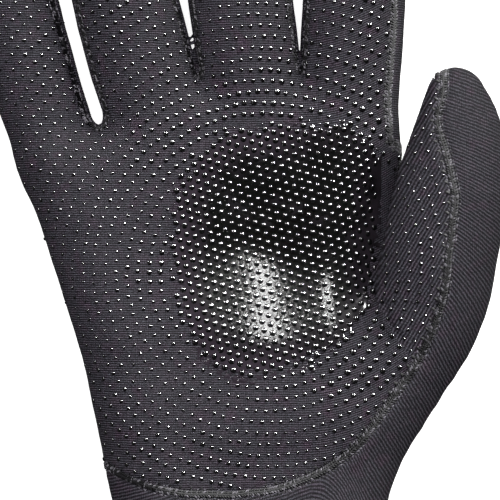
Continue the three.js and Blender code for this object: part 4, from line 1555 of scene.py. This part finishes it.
@dataclass
class GripDots:
    """The raised dots of rubber printed over the palm, in rows round its middle."""

    form: GloveForm
    skin: Skin
    pad: GripPad
    centre: tuple[float, float] = (4.3, 0.0)
    row_pitch: float = 3.15
    dot_pitch: float = 2.75
    reach: float = 150.0
    radius: float = 0.82
    height: float = 0.55
    seam_room: float = 2.1
    film_room: float = 2.4
    lowest: float = 14.0
    least_share: float = 0.3
    thumb_share: float = 0.62

    def _dot_share(self, points: np.ndarray, seam_distance: np.ndarray) -> np.ndarray:
        """Returns the size that a dot has at each point, as a share, and 0 where there is none."""
        x, y, z = points.T
        flat = np.stack((x, y, np.zeros_like(x)), axis=1)
        patches = 0.5 + 0.9 * hash_noise(flat, 26, 5.5) + 0.4 * hash_noise(flat, 9, 2.5)
        edge = self.pad.edge(x, y)
        share = mix(0.6, 1.05, np.clip(patches, 0, 1))
        share = mix(share, 1.25, smooth_step(22, 34, x) * smooth_step(25, 45, y) * 0.6)
        share *= mix(1.2, 0.9, smooth_step(0, 30, edge)) * mix(1, 0.88, smooth_step(-30, -60, x))
        return share * ((seam_distance > self.seam_room) & (edge >= self.film_room) & (z > self.lowest))

    def _tree(self) -> bpy.types.NodeTree:
        """Returns the tree that prints rows of dots on a panel."""
        tree, given, result = tree_with("rows of grip dots", {
            "Panel": "NodeSocketObject",
            "Centre": "NodeSocketVector",
            "Row Pitch": "NodeSocketFloat",
            "Dot Pitch": "NodeSocketFloat",
            "Dot Count": "NodeSocketInt",
            "Dot Radius": "NodeSocketFloat",
            "Dot Height": "NodeSocketFloat",
            "Seed": "NodeSocketInt",
            "Rubber": "NodeSocketMaterial",
        })
        size = given.outputs

        # A spiral whose turns are a row apart and whose steps are a dot apart.
        index = add_node(tree, "GeometryNodeInputIndex").outputs[0]
        known = {"index": index, "row pitch": size["Row Pitch"], "dot pitch": size["Dot Pitch"]}
        for name, operation, *terms in (
            ("cell", "MULTIPLY", "row pitch", "dot pitch"),
            ("number", "ADD", "index", 3.0),
            ("filled", "MULTIPLY", "number", "cell"),
            ("square", "DIVIDE", "filled", math.pi),
            ("radius", "SQRT", "square"),
            ("round", "MULTIPLY", "radius", math.tau),
            ("angle", "DIVIDE", "round", "row pitch"),
            ("cosine", "COSINE", "angle"),
            ("sine", "SINE", "angle"),
            ("across", "MULTIPLY", "radius", "cosine"),
            ("along", "MULTIPLY", "radius", "sine"),
        ):
            inputs = {i: known.get(term, term) for i, term in enumerate(terms)}
            known[name] = add_node(tree, "ShaderNodeMath", inputs, operation=operation).outputs[0]
        wobble = add_node(
            tree,
            "FunctionNodeRandomValue",
            {0: (-0.0002, -0.0002, 0.0), 1: (0.0002, 0.0002, 0.0), "ID": index, "Seed": size["Seed"]},
            data_type="FLOAT_VECTOR",
        )
        place = add_node(tree, "ShaderNodeCombineXYZ", {0: known["across"], 1: known["along"], 2: 0.08})
        centred = add_node(
            tree, "ShaderNodeVectorMath", {0: place.outputs[0], 1: size["Centre"]}, operation="ADD"
        )
        shifted = add_node(
            tree, "ShaderNodeVectorMath", {0: centred.outputs[0], 1: wobble.outputs[0]}, operation="ADD"
        )
        points = add_node(
            tree, "GeometryNodePoints", {"Count": size["Dot Count"], "Position": shifted.outputs[0]}
        )
        panel = add_node(tree, "GeometryNodeObjectInfo", {"Object": size["Panel"]})
        share = add_node(tree, "GeometryNodeInputNamedAttribute", {"Name": "dot_share"}, data_type="FLOAT")
        ray = add_node(
            tree,
            "GeometryNodeRaycast",
            {
                "Target Geometry": panel.outputs["Geometry"],
                "Attribute": share.outputs["Attribute"],
                "Ray Direction": (0.0, 0.0, -1.0),
                "Ray Length": 0.1,
            },
            data_type="FLOAT",
        )
        held = add_node(tree, "GeometryNodeCaptureAttribute", {"Geometry": points.outputs[0]}, domain="POINT")
        caught = (("VECTOR", "Hit Position"), ("VECTOR", "Hit Normal"), ("FLOAT", "Attribute"))
        for number, (kind, name) in enumerate(caught, start=1):
            held.capture_items.new(kind, name)
            tree.links.new(ray.outputs[name], held.inputs[number])
        spot, facing, scale = (held.outputs[number] for number in (1, 2, 3))
        bare = add_node(
            tree,
            "FunctionNodeCompare",
            {0: scale, 1: self.least_share},
            operation="LESS_THAN",
            data_type="FLOAT",
        )
        kept = add_node(
            tree,
            "GeometryNodeDeleteGeometry",
            {"Geometry": held.outputs[0], "Selection": bare.outputs[0]},
            domain="POINT",
        )
        laid = add_node(tree, "GeometryNodeSetPosition", {"Geometry": kept.outputs[0], "Position": spot})
        dome = add_node(tree, "GeometryNodeMeshUVSphere", {"Segments": 8, "Rings": 5, "Radius": 1.0})
        turned = add_node(tree, "FunctionNodeAlignRotationToVector", {"Vector": facing}, axis="Z")
        uneven = add_node(
            tree,
            "FunctionNodeRandomValue",
            {2: 0.82, 3: 1.14, "ID": index, "Seed": size["Seed"]},
            data_type="FLOAT",
        )
        grown = add_node(tree, "ShaderNodeMath", {0: scale, 1: uneven.outputs[1]}, operation="MULTIPLY")
        wide = add_node(
            tree, "ShaderNodeMath", {0: grown.outputs[0], 1: size["Dot Radius"]}, operation="MULTIPLY"
        )
        root = add_node(tree, "ShaderNodeMath", {0: grown.outputs[0]}, operation="SQRT")
        tall = add_node(
            tree, "ShaderNodeMath", {0: root.outputs[0], 1: size["Dot Height"]}, operation="MULTIPLY"
        )
        extent = add_node(
            tree, "ShaderNodeCombineXYZ", {0: wide.outputs[0], 1: wide.outputs[0], 2: tall.outputs[0]}
        )
        dots = add_node(
            tree,
            "GeometryNodeInstanceOnPoints",
            {
                "Points": laid.outputs[0],
                "Instance": dome.outputs["Mesh"],
                "Rotation": turned.outputs[0],
                "Scale": extent.outputs[0],
            },
        )
        end_tree(tree, result, dots.outputs[0], size["Rubber"])
        return tree

    def build(self, panels: Mapping[Panel, bpy.types.Object]) -> None:
        """Prints the dots on the palm and on the thumb's front.

        Args:
            panels: The panels' objects.
        """
        tree, rubber = self._tree(), PrintedRubber(name="silicone rubber, dots", roughness=0.12).material()
        count = int(math.pi * self.reach**2 / (self.row_pitch * self.dot_pitch))
        for panel, name in ((Panel.PALM, "grip_dots_palm"), (Panel.THUMB_FRONT, "grip_dots_thumb")):
            target = panels[panel]
            used = np.unique(self.skin.quads[self.skin.labels == panel])
            share = self._dot_share(self.skin.points[used], self.skin.seam_distance[used])
            if panel == Panel.THUMB_FRONT:
                share *= self.thumb_share
            store(target, "dot_share", np.concatenate((share, np.zeros_like(share))))
            dots = make_object(name, np.zeros((0, 3)), np.zeros((0, 4), dtype=int), [])
            grow(dots, tree, {
                "Panel": target,
                "Centre": (self.centre[0] * MM, self.centre[1] * MM, 0.0),
                "Row Pitch": self.row_pitch * MM,
                "Dot Pitch": self.dot_pitch * MM,
                "Dot Count": count,
                "Dot Radius": self.radius * MM,
                "Dot Height": self.height * MM,
                "Seed": 11,
                "Rubber": rubber,
            })
            dress(dots)


@dataclass
class PadDomes:
    """The domes that stand on the film's lattice."""

    pad: GripPad

    def _tree(self) -> bpy.types.NodeTree:
        """Returns the tree that stands a dome on each point of a mesh."""
        tree, given, result = tree_with("domes on a lattice", {
            "Dome Radius": "NodeSocketFloat",
            "Dome Height": "NodeSocketFloat",
            "Seed": "NodeSocketInt",
            "Rubber": "NodeSocketMaterial",
        })
        facing = add_node(tree, "GeometryNodeInputNamedAttribute", {"Name": "rise"}, data_type="FLOAT_VECTOR")
        turned = add_node(
            tree, "FunctionNodeAlignRotationToVector", {"Vector": facing.outputs["Attribute"]}, axis="Z"
        )
        dome = add_node(tree, "GeometryNodeMeshUVSphere", {"Segments": 10, "Rings": 5, "Radius": 1.0})
        radius, height = given.outputs["Dome Radius"], given.outputs["Dome Height"]
        extent = add_node(tree, "ShaderNodeCombineXYZ", {0: radius, 1: radius, 2: height})
        uneven = add_node(
            tree,
            "FunctionNodeRandomValue",
            {0: (0.88, 0.88, 0.8), 1: (1.06, 1.06, 1.1), "Seed": given.outputs["Seed"]},
            data_type="FLOAT_VECTOR",
        )
        scale = add_node(
            tree, "ShaderNodeVectorMath", {0: extent.outputs[0], 1: uneven.outputs[0]}, operation="MULTIPLY"
        )
        domes = add_node(
            tree,
            "GeometryNodeInstanceOnPoints",
            {
                "Points": given.outputs["Geometry"],
                "Instance": dome.outputs["Mesh"],
                "Rotation": turned.outputs[0],
                "Scale": scale.outputs[0],
            },
        )
        end_tree(tree, result, domes.outputs[0], given.outputs["Rubber"])
        return tree

    def build(self) -> None:
        """Stands the domes on the film and hands them to the frame."""
        pad = self.pad
        low, high = pad.form.pad_curve.min(axis=0), pad.form.pad_curve.max(axis=0)
        counts = range(-40, 41)
        nodes = np.array([(a, b) for a in counts for b in counts]) @ pad.lattice
        within = ((nodes > low - 2) & (nodes < high + 2)).all(axis=1)
        nodes = nodes[within]
        nodes = nodes[pad.edge(nodes[:, 0], nodes[:, 1]) < pad.dome_limit]
        x, y = nodes.T
        height = pad.form.palm_height(x, y)
        slope = np.stack([
            (pad.form.palm_height(x + 0.5 * dx, y + 0.5 * dy) - height) / 0.5 for dx, dy in ((1, 0), (0, 1))
        ])
        rise = np.stack((-slope[0], -slope[1], np.ones(len(x))), axis=1)
        rise /= np.linalg.norm(rise, axis=1)[:, None]
        points = np.stack((x, y, height), axis=1) + rise * pad.film * 0.6
        domes = make_object("grip_pad_domes", points, np.zeros((0, 4), dtype=int), [])
        store(domes, "rise", rise)
        grow(domes, self._tree(), {
            "Dome Radius": pad.dome_radius * MM,
            "Dome Height": pad.dome_height * MM,
            "Seed": 5,
            "Rubber": PrintedRubber(name="silicone rubber, domes", roughness=0.13).material(),
        })
        dress(domes)


# Sewing


@dataclass(frozen=True)
class StitchRow:
    """A row of thread strokes along a seam, in mm.

    Attributes:
        aside: How far the row lies from the seam, towards the palm's side.
        pitch: Step from stroke to stroke.
        slant: Turn of the strokes from the seam's own direction, in degrees.
        length: Length of a stroke.
        lift: How high a stroke arches.
        thread: Radius of the thread.
        shade: Darkest and lightest that a stroke may be. One below 0 comes out black, and
            one past 1 as light as the thread gets.
    """

    aside: float
    pitch: float
    slant: float
    length: float
    lift: float
    thread: float
    shade: tuple[float, float]


@dataclass
class FlatLock:
    """The flat-locked seams: crossing threads over each joint, with looped edges."""

    form: GloveForm
    skin: Skin
    # A near-black strand laid in the groove as painted shade between the threads, the two rows that cross
    # over it, the threads across, the looped edges and the needle's holes.
    rows: tuple[StitchRow, ...] = (
        # Painted shade: a near-black strand that darkens the groove under the crossing threads.
        StitchRow(0.0, 1.3, 0, 2.4, 0.1, 0.72, (0.0, 0.1)),
        StitchRow(0.6, 0.72, 42, 1.3, 0.66, 0.25, (-3.6, 2.6)),
        StitchRow(-0.6, 0.78, -42, 1.3, 0.66, 0.25, (-3.6, 2.4)),
        StitchRow(0.0, 1.5, 78, 3.4, 0.7, 0.17, (-2.6, 2.4)),
        StitchRow(1.45, 1.0, 12, 0.9, 0.36, 0.26, (-2.6, 3.0)),
        StitchRow(-1.45, 1.0, -12, 0.9, 0.36, 0.26, (-2.6, 2.4)),
        StitchRow(1.95, 3.1, 60, 1.2, 0.3, 0.6, (0.0, 0.0)),
    )
    groups: Mapping[str, tuple[tuple[Panel, Panel], ...]] = field(default_factory=lambda: {
        "seam_thumb_and_heel": ((Panel.THUMB_FRONT, Panel.BACK), (Panel.PALM, Panel.BACK)),
        "seam_fingers_front": (
            (Panel.LITTLE_RING, Panel.PALM),
            (Panel.RING_MIDDLE, Panel.PALM),
            (Panel.MIDDLE_INDEX, Panel.PALM),
            (Panel.INDEX_SIDE, Panel.PALM),
        ),
        "seam_fingers_back": (
            (Panel.LITTLE_RING, Panel.BACK),
            (Panel.RING_MIDDLE, Panel.BACK),
            (Panel.MIDDLE_INDEX, Panel.BACK),
            (Panel.INDEX_SIDE, Panel.BACK),
        ),
        "seam_cuff": ((Panel.CUFF, Panel.BACK),),
    })

    def _tree(self) -> bpy.types.NodeTree:
        """Returns the tree that sews along the lines of a mesh."""
        names = ("Aside", "Pitch", "Slant", "Length", "Lift", "Thread", "Dark", "Light")
        sizes = {f"{name} {i}": "NodeSocketFloat" for i in range(len(self.rows)) for name in names}
        sizes |= {"Seed": "NodeSocketInt", "Yarn": "NodeSocketMaterial"}
        tree, given, result = tree_with("flat-locked seam", sizes)
        line = add_node(tree, "GeometryNodeMeshToCurve", {0: given.outputs["Geometry"]})
        rise = add_node(tree, "GeometryNodeInputNamedAttribute", {"Name": "rise"}, data_type="FLOAT_VECTOR")
        run = add_node(tree, "GeometryNodeInputTangent")
        up = rise.outputs["Attribute"]
        index = add_node(tree, "GeometryNodeInputIndex").outputs[0]
        sideways = add_node(
            tree, "ShaderNodeVectorMath", {0: up, 1: run.outputs[0]}, operation="CROSS_PRODUCT"
        )
        axes = add_node(
            tree,
            "FunctionNodeAxesToRotation",
            {0: up, 1: run.outputs[0]},
            primary_axis="Z",
            secondary_axis="X",
        )
        joined = add_node(tree, "GeometryNodeJoinGeometry")
        for i in range(len(self.rows)):
            size = {name: given.outputs[f"{name} {i}"] for name in names}
            spaced = add_node(
                tree,
                "GeometryNodeResampleCurve",
                {0: line.outputs[0], "Length": size["Pitch"]},
                mode="LENGTH",
            )
            half = add_node(tree, "ShaderNodeMath", {0: size["Length"], 1: 0.5}, operation="MULTIPLY")
            back = add_node(tree, "ShaderNodeMath", {0: size["Length"], 1: -0.5}, operation="MULTIPLY")
            dip = add_node(tree, "ShaderNodeMath", {0: size["Lift"], 1: -0.5}, operation="MULTIPLY")
            top = add_node(tree, "ShaderNodeMath", {0: size["Lift"], 1: 2.4}, operation="MULTIPLY")
            start = add_node(tree, "ShaderNodeCombineXYZ", {0: back.outputs[0], 2: dip.outputs[0]})
            crown = add_node(tree, "ShaderNodeCombineXYZ", {2: top.outputs[0]})
            end = add_node(tree, "ShaderNodeCombineXYZ", {0: half.outputs[0], 2: dip.outputs[0]})
            arch = add_node(
                tree,
                "GeometryNodeCurveQuadraticBezier",
                {
                    "Resolution": 3,
                    "Start": start.outputs[0],
                    "Middle": crown.outputs[0],
                    "End": end.outputs[0],
                },
            )
            ring = add_node(
                tree, "GeometryNodeCurvePrimitiveCircle", {"Resolution": 4, "Radius": size["Thread"]}
            )
            stroke = add_node(
                tree,
                "GeometryNodeCurveToMesh",
                {"Curve": arch.outputs[0], "Profile Curve": ring.outputs[0], "Fill Caps": True},
            )
            jitter = add_node(
                tree,
                "FunctionNodeRandomValue",
                {2: -0.16, 3: 0.16, "ID": index, "Seed": i + 20},
                data_type="FLOAT",
            )
            slant = add_node(
                tree, "ShaderNodeMath", {0: size["Slant"], 1: jitter.outputs[1]}, operation="ADD"
            )
            spin = add_node(tree, "ShaderNodeCombineXYZ", {2: slant.outputs[0]})
            turned = add_node(
                tree,
                "FunctionNodeRotateRotation",
                {0: axes.outputs[0], 1: spin.outputs[0]},
                rotation_space="LOCAL",
            )
            shift = add_node(
                tree, "ShaderNodeVectorMath", {0: sideways.outputs[0], 3: size["Aside"]}, operation="SCALE"
            )
            moved = add_node(
                tree, "GeometryNodeSetPosition", {"Geometry": spaced.outputs[0], "Offset": shift.outputs[0]}
            )
            strokes = add_node(
                tree,
                "GeometryNodeInstanceOnPoints",
                {"Points": moved.outputs[0], "Instance": stroke.outputs[0], "Rotation": turned.outputs[0]},
            )
            tone = add_node(
                tree,
                "FunctionNodeRandomValue",
                {2: size["Dark"], 3: size["Light"], "Seed": given.outputs["Seed"]},
                data_type="FLOAT",
            )
            toned = add_node(
                tree,
                "GeometryNodeStoreNamedAttribute",
                {0: strokes.outputs[0], "Name": "shade", "Value": tone.outputs[1]},
                data_type="FLOAT",
                domain="INSTANCE",
            )
            tree.links.new(toned.outputs[0], joined.inputs[0])
        end_tree(tree, result, joined.outputs[0], given.outputs["Yarn"])
        return tree

    def _palm_on_left(self, chain: np.ndarray, normals: np.ndarray) -> bool:
        """Returns whether the palm lies to the left of most of a chain's run."""
        run = np.gradient(chain, axis=0)
        aside = np.cross(normals, run)
        aside /= np.linalg.norm(aside, axis=1)[:, None]
        panels = self.form.panel_at(chain + 2 * aside)
        return float(np.isin(panels, (Panel.PALM, Panel.THUMB_FRONT)).mean()) > 0.5

    def build(self) -> None:
        """Sews every seam and hands the threads to the frame."""
        tree, yarn = self._tree(), TexturedThread().material()
        found = {seam.panels: seam for seam in self.skin.seams}
        for seed, (name, pairs) in enumerate(self.groups.items()):
            points, normals, edges = [], [], []
            for pair in pairs:
                key = tuple(sorted(pair))
                for chain, rise in zip(found[key].chains, found[key].normals):
                    if not self._palm_on_left(chain, rise):
                        chain, rise = chain[::-1], rise[::-1]
                    start = sum(len(part) for part in points)
                    points.append(chain - rise * self.skin.seam_groove * 0.75)
                    normals.append(rise)
                    edges += [(start + i, start + i + 1) for i in range(len(chain) - 1)]
            mesh = bpy.data.meshes.new(name)
            mesh.from_pydata((np.concatenate(points) * MM).tolist(), edges, [])
            thing = bpy.data.objects.new(name, mesh)
            bpy.context.collection.objects.link(thing)
            store(thing, "rise", np.concatenate(normals))
            sizes: dict[str, object] = {"Seed": seed + 1, "Yarn": yarn}
            for i, row in enumerate(self.rows):
                sizes |= {
                    f"Aside {i}": row.aside * MM,
                    f"Pitch {i}": row.pitch * MM,
                    f"Slant {i}": math.radians(row.slant),
                    f"Length {i}": row.length * MM,
                    f"Lift {i}": row.lift * MM,
                    f"Thread {i}": row.thread * MM,
                    f"Dark {i}": row.shade[0],
                    f"Light {i}": row.shade[1],
                }
            grow(thing, tree, sizes)
            dress(thing)


# The studio


@dataclass
class Studio:
    """A pale floor, soft lights and the camera. Floor sizes are in metres, its drop in mm."""

    floor_size: float = 3.0
    floor_drop: float = 0.4
    floor_glow: float = 0.85
    camera_height: float = 1.034
    camera_along: float = 0.0057
    lens: float = 252.6
    world: float = 0.1

    def build(self) -> None:
        """Builds the floor, the lights and the camera."""
        half = self.floor_size * 1000 / 2
        corners = np.array([
            (across * half, along * half, -self.floor_drop)
            for across, along in ((-1, -1), (1, -1), (1, 1), (-1, 1))
        ])
        material, _, shader = new_material("painted board, white")
        shader.inputs["Base Color"].default_value = linear("f4f4f4")
        shader.inputs["Roughness"].default_value = 0.9
        shader.inputs["Emission Color"].default_value = (1.0, 1.0, 1.0, 1.0)
        shader.inputs["Emission Strength"].default_value = self.floor_glow
        floor = make_object("floor", corners, np.array([[0, 1, 2, 3]]), [material])
        floor.visible_diffuse = floor.visible_glossy = False
        world = bpy.data.worlds.new("studio")
        world.use_nodes = True
        world.node_tree.nodes["Background"].inputs["Strength"].default_value = self.world
        world.node_tree.nodes["Background"].inputs["Color"].default_value = (1.0, 1.0, 1.0, 1.0)
        bpy.context.scene.world = world
        self._light("overhead scrim", (0.0, 0.12, 1.6), (0.6, 0.6), 11.0, glossy=False)
        self._light("softbox above right", (0.42, 0.62, 0.95), (0.5, 0.5), 4.0, glossy=False)
        self._light("softbox left", (-0.9, 0.1, 0.75), (0.7, 0.7), 2.0)
        self._light("lamp above", (0.13, 0.58, 1.04), (0.07, 0.26), 3.2, diffuse=False)
        self._light("lamp right", (0.66, 0.9, 0.42), (0.5, 0.3), 420.0, diffuse=False)
        self._light("lamp left", (-0.5, 0.95, 0.42), (0.3, 0.3), 60.0, diffuse=False)
        camera = bpy.data.cameras.new("camera")
        camera.sensor_width = 36.0
        camera.lens = self.lens
        camera.clip_end = 20.0
        holder = bpy.data.objects.new("camera", camera)
        holder.location = (0.0, self.camera_along, self.camera_height)
        bpy.context.collection.objects.link(holder)
        bpy.context.scene.camera = holder
        bpy.context.scene.view_settings.view_transform = "Standard"

    def _light(
        self,
        name: str,
        place: tuple[float, float, float],
        size: tuple[float, float],
        power: float,
        diffuse: bool = True,
        glossy: bool = True,
    ) -> None:
        """Hangs a softbox that faces the glove.

        Args:
            name: Its name.
            place: Where it hangs, in metres.
            size: Its sides, in metres.
            power: Its power in watts.
            diffuse: Whether it lights matt surfaces.
            glossy: Whether it shows as a reflection in glossy ones.
        """
        light = bpy.data.lights.new(name, "AREA")
        light.shape = "RECTANGLE"
        light.size, light.size_y = size
        light.energy = power
        holder = bpy.data.objects.new(name, light)
        holder.location = place
        holder.rotation_euler = Vector(place).to_track_quat("Z", "Y").to_euler()
        holder.visible_camera = False
        holder.visible_diffuse = diffuse
        holder.visible_glossy = glossy
        bpy.context.collection.objects.link(holder)


def main() -> None:
    """Builds the glove and the studio, piece by piece."""
    logging.basicConfig(level=logging.INFO, format="%(message)s")
    Studio().build()
    form = GloveForm()
    skin = Skin(form)
    skin.build()
    panels = SewnPanels(skin).build()
    pad = GripPad(form)
    pad.build()
    PadDomes(pad).build()
    GripDots(form, skin, pad).build(panels)
    FlatLock(form, skin).build()


if __name__ == "__main__":
    main()
